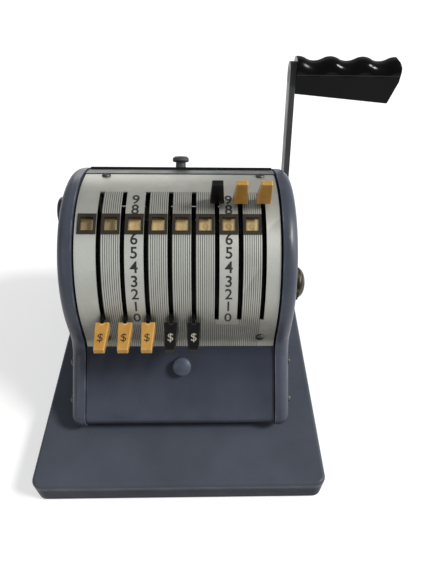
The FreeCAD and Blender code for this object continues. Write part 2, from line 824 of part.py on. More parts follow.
def rear_cover():
    inner, step = "rear_y - rear_cover_thick", "table_z + rear_cover_thick"
    corners = [("rear_y", "table_z"), ("rear_y", "rear_cover_top"), (inner, "rear_cover_top"), (inner, step)]
    corners += [("rear_y - rear_flange", step), ("rear_y - rear_flange", "table_z")]
    sheet = profile_along_x("rear_cover_sheet", corners, {}, "2 * apron_half")
    bores = []
    for i, (x, z) in enumerate(REAR_SCREWS):
        bores.append(cylinder(f"rear_bore_{i + 1}", "bore_radius", "20", (x, "rear_y - 10", z), TO_THE_REAR))
    return cut("rear_cover", sheet, *bores)


def rear_cover_screws():
    made = []
    for i, (x, z) in enumerate(REAR_SCREWS):
        made.append(screw(f"rear_screw_{i + 1}", (x, "rear_y", z), TO_THE_REAR, "5", "small_head_radius"))
    return group("rear_cover_screws", made)


def side_screws():
    """Long screws through the side castings into the apron's ears."""
    made = []
    for side, sign in SIDES.items():
        turn = ALONG_X if side == "right" else AGAINST_X
        for i, (y, z) in enumerate(EAR_SCREWS):
            at = (f"{sign} * cheek_outer", y, z)
            length = "cheek_thick + apron_gap + 0.6 * ear_thick"
            made.append(screw(f"{side}_screw_{i + 1}", at, turn, length, "small_head_radius", "2"))
    return group("side_screws", made)


def top_bridge():
    """The painted strip above the face plate; its lower step carries the plate's upper edge."""
    mid = "(face_radius - plate_thick - 0.1)"
    low, high = f"({mid} - bridge_thick)", "(face_radius + bridge_rise)"
    foot, step, end = "(plate_top - 6)", "(plate_top + 0.5)", "(ribbon_cover_start - 0.6)"
    corners = [on_drum(mid, foot), on_drum(mid, step), on_drum(high, step), on_drum(high, end)]
    corners += [on_drum(low, end), on_drum(low, foot)]
    arcs = {0: (mid, "right"), 2: (high, "right"), 4: (low, "left")}
    strip = profile_along_x("bridge_strip", corners, arcs, "2 * apron_half")
    corners, arcs = drum_strip(low, mid, f"({end} - 1)", "(knob_angle + 4)")
    lug = profile_along_x("bridge_lug", corners, arcs, "bridge_lug_width")
    whole = fuse("bridge_whole", strip, lug)
    return cut("top_bridge", whole, *plate_screw_bores("bridge", "screw_radius", ["top"]))


# ---- face plate ---------------------------------------------------------------------------------

PLATE_SCREWS = [(f"slot_shift {sign} plate_screw_spread", row) for row in ("top", "low") for sign in "-+"]


def plate_screw_place(row):
    """(y, z, tilt) of a plate screw's head seat: upper ones lie on the drum, lower ones on the straight."""
    if row == "top":
        return *on_drum("face_radius", "(plate_top - 3)"), "90 - (plate_top - 3)"
    return "drum_y - face_radius - low_screw_lift", "bend_z + low_screw_height", "90"


def plate_screw_bores(name, radius, rows=("top", "low")):
    made = []
    for i, (x, row) in enumerate(PLATE_SCREWS):
        if row in rows:
            y, z, tilt = plate_screw_place(row)
            depth = "6" if row == "top" else "4"
            at = (x, f"{y} + {depth} * sin({tilt})", f"{z} - {depth} * cos({tilt})")
            made.append(cylinder(f"{name}_plate_bore_{i + 1}", radius, "10", at, (X_AXIS, tilt)))
    return made


def face_plate():
    """The curved sheet. Its faces stay divided below and above the windows, so that each is a simple one."""
    made = body("plate_blank")
    drawn = sketch(made, "YZ_Plane")
    front, thin = "drum_y - face_radius", "(face_radius - plate_thick)"
    below, above = "(window_angle - 10)", "(window_angle + 10)"
    corners = [on_drum("face_radius", "plate_top"), on_drum("face_radius", above), on_drum("face_radius", below)]
    corners += [(front, "drum_z"), (front, "bend_z"), on_bend("0", "plate_bend")]
    corners += [on_bend("plate_thick", "plate_bend"), (f"drum_y - {thin}", "bend_z")]
    corners += [(f"drum_y - {thin}", "drum_z"), on_drum(thin, below), on_drum(thin, above)]
    corners += [on_drum(thin, "plate_top")]
    arcs = {k: ("face_radius", "left") for k in (0, 1, 2)}
    arcs.update({k: (thin, "right") for k in (8, 9, 10)})
    arcs.update({4: ("bend_radius", "right"), 6: ("bend_radius + plate_thick", "left")})
    outline(drawn, corners, arcs)
    pad(made, drawn, "2 * plate_half", symmetric=True).Refine = False
    row_of_openings(made, "slot_low", "slot_high", "slot_width", "first_slot_x")
    half = "opening_span / 2"
    low, high = f"(window_angle - {half})", f"(window_angle + {half})"
    row_of_openings(made, low, high, "opening_width", "first_slot_x - window_offset")
    return cut("face_plate", made, *plate_screw_bores("plate", "bore_radius"))


def row_of_openings(owner, low, high, width, first_x):
    """Cuts an opening per column through the drum-shaped sheet, between two angles."""
    drawn = sketch(owner, "YZ_Plane", first_x)
    outline(drawn, *drum_strip("(face_radius - 6)", "(face_radius + 4)", low, high))
    opening = pocket(owner, drawn, width, symmetric=True)
    opening.Refine = False
    row_of(owner, opening, "X_Axis", f"{COLUMNS - 1} * slot_pitch", COLUMNS).Refine = False


def face_plate_screws():
    made = []
    for i, (x, row) in enumerate(PLATE_SCREWS):
        y, z, tilt = plate_screw_place(row)
        length = "3" if row == "top" else "2.2"
        made.append(screw(f"plate_screw_{i + 1}", (x, y, z), (X_AXIS, tilt), length, "small_head_radius"))
    return group("face_plate_screws", made)


def window_strip(name, index, inner, outer, width, span):
    """A drum-shaped piece centred on one of the windows."""
    x = f"(first_slot_x - window_offset + {index} * slot_pitch)"
    low, high = f"(window_angle - ({span}) / 2)", f"(window_angle + ({span}) / 2)"
    return profile_along_x(name, *drum_strip(inner, outer, low, high), width, f"{x} - ({width}) / 2")


def window_frames():
    """Moulded frames, one per window: a flat bezel on the plate with a collar through the opening."""
    made = []
    for i in range(COLUMNS):
        rim = window_strip(
            f"frame_rim_{i + 1}", i, "face_radius", "(face_radius + frame_proud)", "frame_width", "frame_span"
        )
        collar = window_strip(
            f"frame_collar_{i + 1}", i, "(face_radius - plate_thick - 1)", "(face_radius + 0.2)",
            "opening_width - 2 * frame_fit", "opening_span - 2 * frame_fit",
        )
        eye = window_strip(
            f"frame_eye_{i + 1}", i, "(face_radius - 8)", "(face_radius + 4)", "eye_width", "eye_span"
        )
        made.append(cut(f"window_frame_{i + 1}", fuse(f"frame_blank_{i + 1}", rim, collar), eye))
    return group("window_frames", made)


def window_lenses():
    outer = "(face_radius - lens_sunk)"
    inner = f"({outer} - lens_thick)"
    made = []
    for i in range(COLUMNS):
        made.append(window_strip(f"lens_{i + 1}", i, inner, outer, "eye_width - 0.1", "eye_span - 0.1"))
    return group("window_lenses", made)


# ---- type wheels and levers ---------------------------------------------------------------------


def disc(name, radius, width, x, sweep="360", start="0"):
    """A disc, or a slice of one, about the wheel's axis in the lever's own frame."""
    made = DOC.addObject("Part::Cylinder", name)
    bind(made, Radius=radius, Height=width, Angle=sweep)
    turn = Rotation(X_AXIS, number(start)).multiply(Rotation(Vector(1, 1, 1), 120))
    made.Placement = Placement(Vector(0, 0, 0), turn)
    made.setExpression("Placement.Base.x", named(x))
    return made


def slice_of_wheel(name, radius, width, x, low, high):
    """A pie slice between two angles below the lever."""
    return disc(name, radius, width, x, f"({high}) - ({low})", f"180 - ({high})")


def ring_slice(name, radius, depth, width, x, low, high):
    hollow = disc(name + "_hollow", f"{radius} - {depth}", f"{width} + 2", f"({x}) - 1")
    return cut(name + "_ring", slice_of_wheel(name, radius, width, x, low, high), hollow)


def lever_tongue(name):
    """The lever's arm, from the web out through the slot and down into the tab, pointing along -Y."""
    made = DOC.addObject("PartDesign::Body", name)
    drawn = sketch(made, "YZ_Plane")
    half, tip = "lever_height / 2", "-(tab_start + tongue_length)"
    corners = [("-lever_root", f"-{half}"), ("-(tab_start - 2)", f"-{half}")]
    corners += [("-(tab_start + 1)", "-tongue_bend"), (tip, "-tongue_low"), (tip, "-tongue_high")]
    corners += [("-(tab_start + 2.1)", "-3"), ("-(tab_start - 0.5)", half), ("-lever_root", half)]
    outline(drawn, corners)
    pad(made, drawn, "lever_thick", symmetric=True)
    return made


def to_column(made, index):
    """Turns a lever-frame piece to its rest angle on the drum's axis and slides it to its column."""
    rest = "lever_low" if index < LOW_LEVERS else "(lever_low + lever_travel)"
    return put(made, (f"first_slot_x + {index} * slot_pitch", "drum_y", "drum_z"), (X_AXIS, f"-1 * {rest}"))


def type_wheel(index):
    """Lever plate, digit band, hub and type sector of one column, at the wheel's rest angle."""
    name = f"type_wheel_{index + 1}"
    left, wide = "-(wheel_low_x)", "wheel_low_x + lever_thick / 2"
    web = slice_of_wheel(name + "_web", "web_radius", "lever_thick", "-lever_thick / 2", "type_start", "band_end")
    band = ring_slice(name + "_band", "band_radius", "band_thick", wide, left, "band_start", "band_end")
    types = ring_slice(name + "_types", "type_radius", "type_depth", wide, left, "type_start", "type_end")
    hub = disc(name + "_hub", "wheel_hub_radius", wide, left)
    bore = disc(name + "_bore", "axle_radius + running_fit", f"{wide} + 2", f"{left} - 1")
    blank = fuse(name + "_blank", web, band, types, hub, lever_tongue(name + "_lever"))
    return to_column(cut(name, blank, bore), index)


def lever_tab(index):
    """A moulded wedge tab, tapering to its tip, slotted over the lever's tongue."""
    name = f"lever_tab_{index + 1}"
    wedge = DOC.addObject("Part::Wedge", name + "_wedge")
    bind(wedge, Ymin="-(tab_start + tab_length)", Ymax="-tab_start")
    bind(wedge, Xmin="-tab_tip_width / 2", Xmax="tab_tip_width / 2")
    bind(wedge, X2min="-tab_root_width / 2", X2max="tab_root_width / 2")
    bind(wedge, Zmin="-tab_tip_low", Zmax="-tab_tip_high", Z2min="-tab_root_low", Z2max="-tab_root_high")
    DOC.recompute()
    eased = DOC.addObject("Part::Fillet", name + "_eased")
    eased.Base = wedge
    radius = number("tab_edge")
    eased.Edges = [(i + 1, radius, radius) for i in range(len(wedge.Shape.Edges))]
    return to_column(cut(name, eased, lever_tongue(name + "_slot")), index)


def wheel_axle():
    end = "(cheek_inner + axle_seat)"
    return rod("wheel_axle", "axle_radius", f"2 * {end}", (f"-{end}", "drum_y", "drum_z"))


def axle_collars():
    """Collars that hold the row of wheels along the axle."""
    bore, rim = "axle_radius + running_fit", "axle_radius + collar_wall"
    gap = "(cheek_inner - last_slot_x - lever_thick / 2 - side_clearance)"
    left = tube("left_collar", bore, rim, "end_room", ("-cheek_inner", "drum_y", "drum_z"))
    right = tube("right_collar", bore, rim, gap, (f"cheek_inner - {gap}", "drum_y", "drum_z"))
    return group("axle_collars", [left, right])


def detent_bar():
    y, z = on_drum("detent_radius", "detent_angle")
    half = "detent_bar_size / 2"
    corners = rectangle(f"{y} - {half}", f"{y} + {half}", f"{z} - {half}", f"{z} + {half}")
    return profile_along_x("detent_bar", corners, {}, "2 * cheek_inner")


def detent_springs():
    """Leaf springs that run from the detent bar down to each wheel's hub."""
    y, z = on_drum("(wheel_hub_radius + 0.4)", "detent_angle")
    length = "detent_radius - detent_bar_size / 2 - wheel_hub_radius - 1.4"
    size = ("detent_spring_width", length, "detent_spring_thick")
    made = []
    for i in range(COLUMNS):
        at = (f"first_slot_x + {i} * slot_pitch - window_offset - detent_spring_width / 2", y, z)
        made.append(box(f"detent_leaf_{i + 1}", size, at, (X_AXIS, "180 - detent_angle")))
    return group("detent_springs", made)


# ---- handle, cams and platen --------------------------------------------------------------------


def crank_shaft():
    """From the left bush, across behind the wheels, through the right bush and the arm, to the nut."""
    start, end = "-(cheek_outer - 1)", "(arm_x + arm_thick + crank_thread)"
    return rod("crank_shaft", "crank_radius", f"{end} - {start}", (start, "crank_y", "crank_z"))


def shaft_bushes():
    bore, rim = "crank_radius + running_fit", "crank_radius + bush_wall"
    made = []
    for side, start in (("left", "-cheek_outer"), ("right", "cheek_inner")):
        made.append(tube(f"{side}_bush", bore, rim, "cheek_thick", (start, "crank_y", "crank_z")))
    return group("shaft_bushes", made)


def lift_cams():
    """Cams whose edge grows by the lift over the handle's swing, drawn with short facets."""
    facets = 14
    first, last = 104.0, 80.0 - number("press_angle")
    corners = []
    for k in range(facets + 1):
        angle = f"{first + (last - first) * k / facets:.3f}"
        radius = f"(cam_radius + press_lift * (90 - {angle}) / press_angle)"
        corners.append((f"{radius} * cos({angle})", f"{radius} * sin({angle})"))
    corners += [(f"cam_hub * cos({a})", f"cam_hub * sin({a})") for a in (-30, -75, -120, -165, 150)]
    made = []
    for side, start in (("left", "-(cam_x + cam_thick)"), ("right", "cam_x")):
        cam = body(f"{side}_cam_blank", (start, "crank_y", "crank_z"))
        drawn = sketch(cam, "YZ_Plane")
        outline(drawn, corners)
        circle(drawn, "0", "0", "crank_radius")
        pad(cam, drawn, "cam_thick")
        made.append(cam)
    return group("lift_cams", made)


def platen_bar():
    low, half = "platen_z + platen_foot", "platen_width / 2"
    corners = rectangle(f"drum_y - {half}", f"drum_y + {half}", low, "table_z")
    return profile_along_x("platen_bar", corners, {}, "platen_length")


def platen_yokes():
    """Side plates that hang on the cams by their rollers and carry the platen bar on a long foot."""
    near, far = "crank_y - yoke_width / 2", "crank_y + yoke_width / 2"
    front, step = "drum_y - platen_width / 2", "platen_z + platen_foot"
    half, top = "(crank_radius + yoke_play)", "roller_z + yoke_top"
    inward = "(platen_length / 2 - 4)"
    made = []
    for side in SIDES:
        right = side == "right"
        start = "yoke_x" if right else "-(yoke_x + yoke_thick)"
        plate = body(f"{side}_yoke_blank", (start, "0", "0"))
        drawn = sketch(plate, "YZ_Plane")
        corners = [(front, "platen_z"), (far, "platen_z"), (far, top), (near, top), (near, step), (front, step)]
        outline(drawn, corners)
        pad(plate, drawn, "yoke_thick")
        window = sketch(plate, "YZ_Plane")
        low, high = f"crank_z - press_lift - {half}", f"crank_z + {half}"
        outline(window, rectangle(f"crank_y - {half}", f"crank_y + {half}", low, high))
        pocket(plate, window)
        reach = f"yoke_x + yoke_thick - {inward}"
        at = (inward if right else start, front, "platen_z")
        foot = box(f"{side}_yoke_foot", (reach, "platen_width", "platen_foot"), at)
        made.append(fuse(f"{side}_yoke", plate, foot))
    return group("platen_yokes", made)


def follower_rollers():
    """Rollers on short studs of the yokes, over the cams."""
    made = []
    for side, start in (("left", "-yoke_x"), ("right", "cam_x")):
        made.append(rod(f"{side}_roller", "roller_radius", "yoke_x - cam_x", (start, "crank_y", "roller_z")))
    return group("follower_rollers", made)


def return_spring():
    """Torsion spring round the crank shaft between the last wheel and the right cam."""
    start = "(last_slot_x + lever_thick / 2 + 1.2)"
    at = (f"{start} + return_wire / 2", "crank_y", "crank_z")
    return coil("return_spring", "return_wire", 4, f"cam_x - 0.6 - {start}", "return_radius", at, ALONG_X)


def handle_arm():
    """A flat bar from the crank shaft's eye up to the grip's boss, leaning back at rest."""
    bar = DOC.addObject("PartDesign::Body", "handle_arm_bar")
    drawn = sketch(bar, "YZ_Plane")
    half, root = "arm_width / 2", "sqrt(arm_eye^2 - (arm_width / 2)^2) - 1"
    end = "(arm_length + arm_over)"
    corners = [(f"-{half}", root), (f"-{half}", end), ("0", f"{end} + {half}"), (half, end), (half, root)]
    outline(drawn, corners, {1: (half, "right"), 2: (half, "right")})
    pad(bar, drawn, "arm_thick")
    eye = disc("arm_eye_disc", "arm_eye", "arm_thick", "0")
    shaft_bore = disc("arm_shaft_bore", "crank_radius", "arm_thick + 2", "-1")
    grip_bore = turned("arm_grip_bore", bolt_shape("1"), ("-mid_x", "0", "arm_length"), ALONG_X)
    arm = cut("handle_arm", fuse("handle_arm_blank", bar, eye), shaft_bore, grip_bore)
    return put(arm, ("arm_x", "crank_y", "crank_z"), (X_AXIS, "-1 * arm_lean"))


def bolt_shape(reach):
    """A countersunk bolt, `reach` mm longer than the arm is thick."""
    end = f"arm_thick + {reach}"
    shape = [("0", "0"), ("grip_bolt_head", "0"), ("grip_bolt_radius", "grip_bolt_sunk")]
    return shape + [("grip_bolt_radius", end), ("0", end)]


GRIP_Y = "crank_y + arm_length * sin(arm_lean)"
GRIP_Z = "crank_z + arm_length * cos(arm_lean)"


def handle_grip():
    """The moulded grip: a rounded wavy top with crests between the fingers and a deep, slanted right end."""
    made = body("handle_grip", ("grip_x", GRIP_Y, GRIP_Z))
    drawn = sketch(made, "XZ_Plane")
    quarter, middle = "(grip_pitch / 4)", "(grip_crest - grip_wave / 2)"
    bend = f"(({quarter}^2 + (grip_wave / 2)^2) / grip_wave)"
    drop = "(grip_right_height - grip_left_height) / grip_length"
    past = "(grip_length + 12)"
    corners = [("0", f"grip_crest - {bend} + sqrt({bend}^2 - grip_lead^2)")]
    corners += [(f"grip_lead + {k} * {quarter}", middle) for k in range(1, 13, 2)]
    corners += [(f"grip_lead + 12 * {quarter}", "grip_crest"), (past, "grip_crest")]
    corners += [(past, f"grip_crest - grip_left_height - {past} * {drop}")]
    corners += [("0", "grip_crest - grip_left_height")]
    arcs = {k: (bend, "left" if k % 2 else "right") for k in range(1, 6)}
    arcs.update({0: (bend, "right"), 6: (bend, "right")})
    outline(drawn, corners, arcs)
    block = pad(made, drawn, "grip_depth", symmetric=True)
    low = number("grip_crest - grip_wave") - 1
    fillet(made, block, "grip_round", lambda b: b.YLength < 1e-4 and b.ZMin > low and b.XLength > 1)
    end = sketch(made, "XZ_Plane")
    shoulder = f"grip_lead + 12 * {quarter}"
    corners = [(shoulder, "grip_crest + 2"), (shoulder, "grip_crest")]
    corners += [("grip_length", "grip_crest - grip_shoulder")]
    corners += [("grip_length", "grip_crest - grip_end_drop"), ("grip_length - grip_slant", "grip_crest - 40")]
    corners += [(f"{past} + 1", "grip_crest - 40"), (f"{past} + 1", "grip_crest + 2")]
    outline(end, corners, {1: ("grip_end_round", "right")})
    ended = pocket(made, end)
    top, near_end = number("grip_crest - grip_round") + 0.1, number("grip_length - grip_slant")

    def lower_edge(b):
        return b.ZMax < top and (b.XLength > 30 or (b.XMin > near_end and b.ZLength + b.YLength > 1))

    fillet(made, ended, "grip_edge", lower_edge)
    bore = sketch(made, "YZ_Plane")
    circle(bore, "0", "0", "grip_bolt_radius")
    pocket(made, bore, "grip_bolt_reach + 1", reverse=True)
    return made


def grip_bolt():
    return turned("grip_bolt", bolt_shape("grip_bolt_reach"), ("arm_x", GRIP_Y, GRIP_Z), ALONG_X)


def hub_nut():
    """A domed nut on the crank shaft's thread."""
    depth = "crank_thread + running_fit"
    shape = [("crank_radius", "0"), ("nut_radius", "0"), ("nut_radius", "0.55 * nut_height")]
    shape += [("0.8 * nut_radius", "0.77 * nut_height"), ("0.4 * nut_radius", "0.95 * nut_height")]
    shape += [("0", "nut_height"), ("0", depth), ("crank_radius", depth)]
    return turned("hub_nut", shape, ("arm_x + arm_thick", "crank_y", "crank_z"), ALONG_X)


# ---- lock, cap and button -----------------------------------------------------------------------


def lock_bezel():
    """A sleeve through the casting with a flange and a domed face."""
    bore, flange = "barrel_radius + running_fit", "cheek_thick + bezel_flange"
    shape = [(bore, "0"), ("sleeve_radius", "0"), ("sleeve_radius", "cheek_thick")]
    shape += [("bezel_radius", "cheek_thick"), ("bezel_radius", flange), ("bezel_radius - 1.2", flange)]
    shape += [(bore, "cheek_thick + bezel_proud")]
    return turned("lock_bezel", shape, ("cheek_inner", "lock_y", "lock_z"), ALONG_X, {5: ("bezel_dome", "left")})


def lock_barrel():
    """The key plug, with its keyway, and the locking finger on its inner end."""
    tail = "cheek_inner - barrel_tail"
    length = f"bezel_face - 0.5 - ({tail})"
    plug = cylinder("lock_plug", "barrel_radius", length, (tail, "lock_y", "lock_z"), ALONG_X)
    finger = box("lock_finger", ("2.5", "6", "finger_length"), (tail, "lock_y - 3", "lock_z - finger_length"))
    keyway = box("lock_keyway", ("8", "1.6", "8"), ("bezel_face - 7", "lock_y - 0.8", "lock_z - 4"))
    return cut("lock_barrel", fuse("lock_barrel_blank", plug, finger), keyway)


def side_cap():
    face = "cheek_thick + cap_proud"
    shape = [("0", "0"), ("cap_spigot", "0"), ("cap_spigot", "cheek_thick"), ("cap_radius", "cheek_thick")]
    shape += [("cap_radius", f"{face} - 1"), ("cap_radius - 1", face), ("0", face)]
    return turned("side_cap", shape, ("-cheek_inner", "cap_y", "cap_z"), AGAINST_X)


def release_button():
    """A plunger with a slightly domed face, a flange behind the apron and a thin stem."""
    back, edge = "-(apron_thick + button_play)", "button_radius - 0.6"
    crown = f"((({edge})^2 + button_crown^2) / (2 * button_crown))"
    shape = [("0", "-(bracket_depth + 1)"), ("button_stem", "-(bracket_depth + 1)")]
    shape += [("button_stem", f"{back} - button_flange"), ("button_radius + 1.5", f"{back} - button_flange")]
    shape += [("button_radius + 1.5", back), ("button_radius", back)]
    shape += [("button_radius", "button_proud - button_crown - 0.6"), (edge, "button_proud - button_crown")]
    shape += [("0", "button_proud")]
    return turned("release_button", shape, along_button("0"), BUTTON_TILT, {7: (crown, "left")})


def button_bracket():
    """A bent strap behind the apron that guides the button's stem and backs its spring."""
    _, y, z = along_button("-bracket_depth")
    low = (f"{y} - bracket_width / 2 * sin(slope)", f"{z} - bracket_width / 2 * cos(slope)")
    floor = ("2 * bracket_half", "bracket_width", "bracket_thick")
    leg = ("bracket_thick", "bracket_width", "bracket_depth - apron_thick - running_fit")
    near, far = "button_x - bracket_half", "button_x + bracket_half - bracket_thick"
    pieces = [
        box("bracket_floor", floor, (near, *low), BUTTON_TILT),
        box("bracket_left_leg", leg, (near, *low), BUTTON_TILT),
        box("bracket_right_leg", leg, (far, *low), BUTTON_TILT),
    ]
    bore = cylinder("bracket_bore", "button_stem + 0.1", "6", along_button("-(bracket_depth + 3)"), BUTTON_TILT)
    return cut("button_bracket", fuse("bracket_blank", *pieces), bore)


def button_spring():
    """Coil spring round the button's stem, between the bracket and the button's flange."""
    free = "bracket_depth - bracket_thick - apron_thick - button_play - button_flange - 0.3"
    at = along_button("-bracket_depth + bracket_thick + button_wire / 2")
    return coil("button_spring", "button_wire", 4, free, "button_coil", at, BUTTON_TILT)


# ---- ribbon -------------------------------------------------------------------------------------


def ribbon_cover():
    """The black rear lid: a curved sheet with a raised front edge, curled round its hinge pin."""
    low, high = "(face_radius + ribbon_cover_gap)", "(face_radius + cover_top)"
    start, end, lip = "ribbon_cover_start", "ribbon_cover_end", f"({high} + ribbon_cover_lip)"
    corners = [on_drum(low, start), on_drum(lip, start), on_drum(lip, f"({start} + 1.4)")]
    corners += [on_drum(high, f"({start} + 1.8)"), on_drum(high, end), on_drum(low, end)]
    width = "2 * apron_half - 0.6"
    sheet = profile_along_x("ribbon_cover_sheet", corners, {3: (high, "right"), 5: (low, "left")}, width)
    y, z = on_drum("hinge_radius", "hinge_angle")
    curl = cylinder("hinge_curl", "hinge_curl_radius", width, ("-(apron_half - 0.3)", y, z), ALONG_X)
    fit = "hinge_pin_radius + running_fit"
    bore = cylinder("hinge_bore", fit, "2 * cheek_outer", ("-cheek_outer", y, z), ALONG_X)
    y, z = on_drum("(face_radius - 6)", "knob_angle")
    hole = cylinder("knob_hole", "knob_shank + running_fit", "12", ("knob_x", y, z), (X_AXIS, "90 - knob_angle"))
    return cut("ribbon_cover", fuse("ribbon_cover_blank", sheet, curl), bore, hole)


def cover_hinge_pin():
    y, z = on_drum("hinge_radius", "hinge_angle")
    return rod("cover_hinge_pin", "hinge_pin_radius", "2 * cheek_inner", ("-cheek_inner", y, z))


def cover_knob():
    """Thumb knob: a short shank through the cover, a slightly waisted neck and a mushroom head."""
    head, top = "knob_head_radius", "cover_top + knob_height"
    shape = [("0", "0.2"), ("knob_shank", "0.2"), ("knob_shank", "cover_top + 0.1")]
    shape += [("knob_neck", "cover_top + 0.1"), ("knob_neck - 0.2", f"{top} - 4.8")]
    shape += [(f"{head} - 0.6", f"{top} - 4.5"), (head, f"{top} - 3.6")]
    shape += [(head, f"{top} - 1.6"), (f"{head} - 1.4", f"{top} - 0.3"), ("0", top)]
    y, z = on_drum("face_radius", "knob_angle")
    return turned("cover_knob", shape, ("knob_x", y, z), (X_AXIS, "90 - knob_angle"))


def ribbon_spindles():
    end = "(cheek_inner + rod_seat)"
    made = []
    for i, (y, z) in enumerate(SPINDLES):
        made.append(rod(f"spindle_{i + 1}", "spindle_radius", f"2 * {end}", (f"-{end}", y, z)))
    return group("ribbon_spindles", made)


def ribbon_spool(name, y, z):
    """A tube with end flanges, wound with ribbon between them."""
    bore, rim, far = "spindle_radius + running_fit", "spool_flange", "(2 * spool_half)"
    shape = [(bore, "0"), (rim, "0"), (rim, "spool_flange_thick"), ("spool_radius", "spool_flange_thick")]
    shape += [("spool_radius", f"{far} - spool_flange_thick"), (rim, f"{far} - spool_flange_thick")]
    shape += [(rim, far), (bore, far)]
    return turned(name, shape, ("-spool_half", y, z), ALONG_X)


def ribbon():
    """The inked ribbon between the spools, led under the types by the two guide rods."""
    top = [("front_spool_y", "front_spool_z - spool_radius - ribbon_gap")]
    top += [(f"drum_y {sign} guide_spread", "guide_z - guide_radius - 0.1") for sign in "-+"]
    top += [("rear_spool_y", "rear_spool_z - spool_radius - ribbon_gap")]
    bottom = [(y, f"{z} - ribbon_thick") for y, z in reversed(top)]
    return profile_along_x("ribbon", top + bottom, {}, "2 * spool_half - 4 * spool_flange_thick")


def cross_rods():
    """Two spacer rods and the two ribbon guide rods, let into the side castings."""
    end = "(cheek_inner + rod_seat)"
    made = []
    for i, (y, z, radius) in enumerate(CROSS_RODS):
        made.append(rod(f"cross_rod_{i + 1}", radius, f"2 * {end}", (f"-{end}", y, z)))
    return group("cross_rods", made)


# ---- assembly -----------------------------------------------------------------------------------


def build():
    write_sheet()
    parts = [base_casting(), bottom_cover(), rubber_feet(), base_screws()]
    parts += [side_casting("left"), side_casting("right"), side_screws(), front_apron()]
    parts += [rear_cover(), rear_cover_screws(), top_bridge()]
    parts += [face_plate(), face_plate_screws(), window_frames(), window_lenses()]
    parts += [wheel_axle(), axle_collars(), detent_bar(), detent_springs(), cross_rods()]
    for index in range(COLUMNS):
        parts += [type_wheel(index), lever_tab(index)]
    parts += [crank_shaft(), shaft_bushes(), lift_cams(), return_spring()]
    parts += [platen_bar(), platen_yokes(), follower_rollers()]
    parts += [handle_arm(), handle_grip(), grip_bolt(), hub_nut()]
    parts += [lock_bezel(), lock_barrel(), side_cap(), release_button(), button_bracket(), button_spring()]
    parts += [ribbon_cover(), cover_hinge_pin(), cover_knob(), ribbon_spindles(), ribbon()]
    parts += [ribbon_spool("front_ribbon_spool", *SPINDLES[0]), ribbon_spool("rear_ribbon_spool", *SPINDLES[1])]
    DOC.removeObject("Working")
    DOC.recompute()
    return parts


def check(parts):
    """Stops before anything is written if an object failed or a piece isn't a sound solid."""
    failed = [o.Label for o in DOC.Objects if "Invalid" in o.State or "Error" in o.State]
    if failed:
        raise ValueError(f"these objects failed: {failed}")
    for piece in parts:
        if piece.Shape.isNull() or not piece.Shape.isValid() or not piece.Shape.Solids:
            raise ValueError(f"{piece.Label} is not a sound solid")
    labels = [piece.Label for piece in parts]
    if len(set(labels)) != len(labels):
        raise ValueError("two pieces share a name")


PARTS = build()
check(PARTS)
os.makedirs("parts", exist_ok=True)
for part in PARTS:
    part.Shape.exportStep(f"parts/{part.Label}.step")
print(len(PARTS), "pieces,", sum(len(p.Shape.Solids) for p in PARTS), "solids")
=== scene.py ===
import json
import math

import bmesh
import bpy
from mathutils import Matrix, Vector


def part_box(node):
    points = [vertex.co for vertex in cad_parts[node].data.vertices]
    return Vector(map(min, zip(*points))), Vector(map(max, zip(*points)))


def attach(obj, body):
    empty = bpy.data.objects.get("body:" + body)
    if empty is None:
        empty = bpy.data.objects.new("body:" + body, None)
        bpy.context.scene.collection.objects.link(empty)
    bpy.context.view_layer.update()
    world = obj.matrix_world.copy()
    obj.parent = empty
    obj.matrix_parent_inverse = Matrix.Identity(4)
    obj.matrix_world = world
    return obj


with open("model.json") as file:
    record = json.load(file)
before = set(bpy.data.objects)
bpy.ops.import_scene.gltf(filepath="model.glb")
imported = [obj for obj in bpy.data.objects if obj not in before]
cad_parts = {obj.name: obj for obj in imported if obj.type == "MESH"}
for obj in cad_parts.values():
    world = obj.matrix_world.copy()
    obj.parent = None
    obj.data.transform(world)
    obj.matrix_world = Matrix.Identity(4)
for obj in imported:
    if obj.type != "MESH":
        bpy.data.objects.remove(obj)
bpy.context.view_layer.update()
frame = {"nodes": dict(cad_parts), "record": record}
nodes = frame["nodes"]


def middle_of(node):
    low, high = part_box(node)
    return (Vector(low) + Vector(high)) / 2


# Places on the machine, in metres, taken from the frame.
MID_X = middle_of("base_casting").x
DRUM_Y, DRUM_Z = middle_of("wheel_axle").yz
FIRST_SLOT_X = middle_of("lever_tab_1").x
SLOT_PITCH = middle_of("lever_tab_2").x - FIRST_SLOT_X
RIGHT = Vector((1, 0, 0))

# Eight levers, of which the first five rest at 0 and the others at 9.
LEVERS = 8
LOW_LEVERS = 5
ROW_HALF = (LEVERS - 1) / 2 * SLOT_PITCH
ROW_X = FIRST_SLOT_X + ROW_HALF

# Sizes in metres and angles in degrees above the horizontal at the drum's axis, as in the part.
FACE_R = 0.0743
BAND_R = 0.0690
LEVER_STEP = 8.04
WINDOW_ANGLE = 62.0
WINDOW_OFFSET = 0.0084
SLOT_TOP = 84.2
LOW_TAB_ANGLE = 7.0
# The ends of a tab's upper face: how far out along its lever, and how far above it.
TAB_ROOT = (0.0779, -0.0011)
TAB_TIP = (0.0995, -0.0078)

# The printed scales: the middles of their columns, and the angle of each digit. The row of
# windows takes the place of the 7.
DIGIT_COLUMNS = (FIRST_SLOT_X + 1.5 * SLOT_PITCH, FIRST_SLOT_X + 5.5 * SLOT_PITCH)
DIGIT_ANGLES = {0: 6.4, 1: 14.4, 2: 22.2, 3: 29.7, 4: 37.6, 5: 45.5, 6: 53.1, 8: 70.7, 9: 77.7}
# How far the printing stands off the plate, and off the bands and tabs.
PLATE_INK = 0.00004
WHEEL_INK = 0.00005

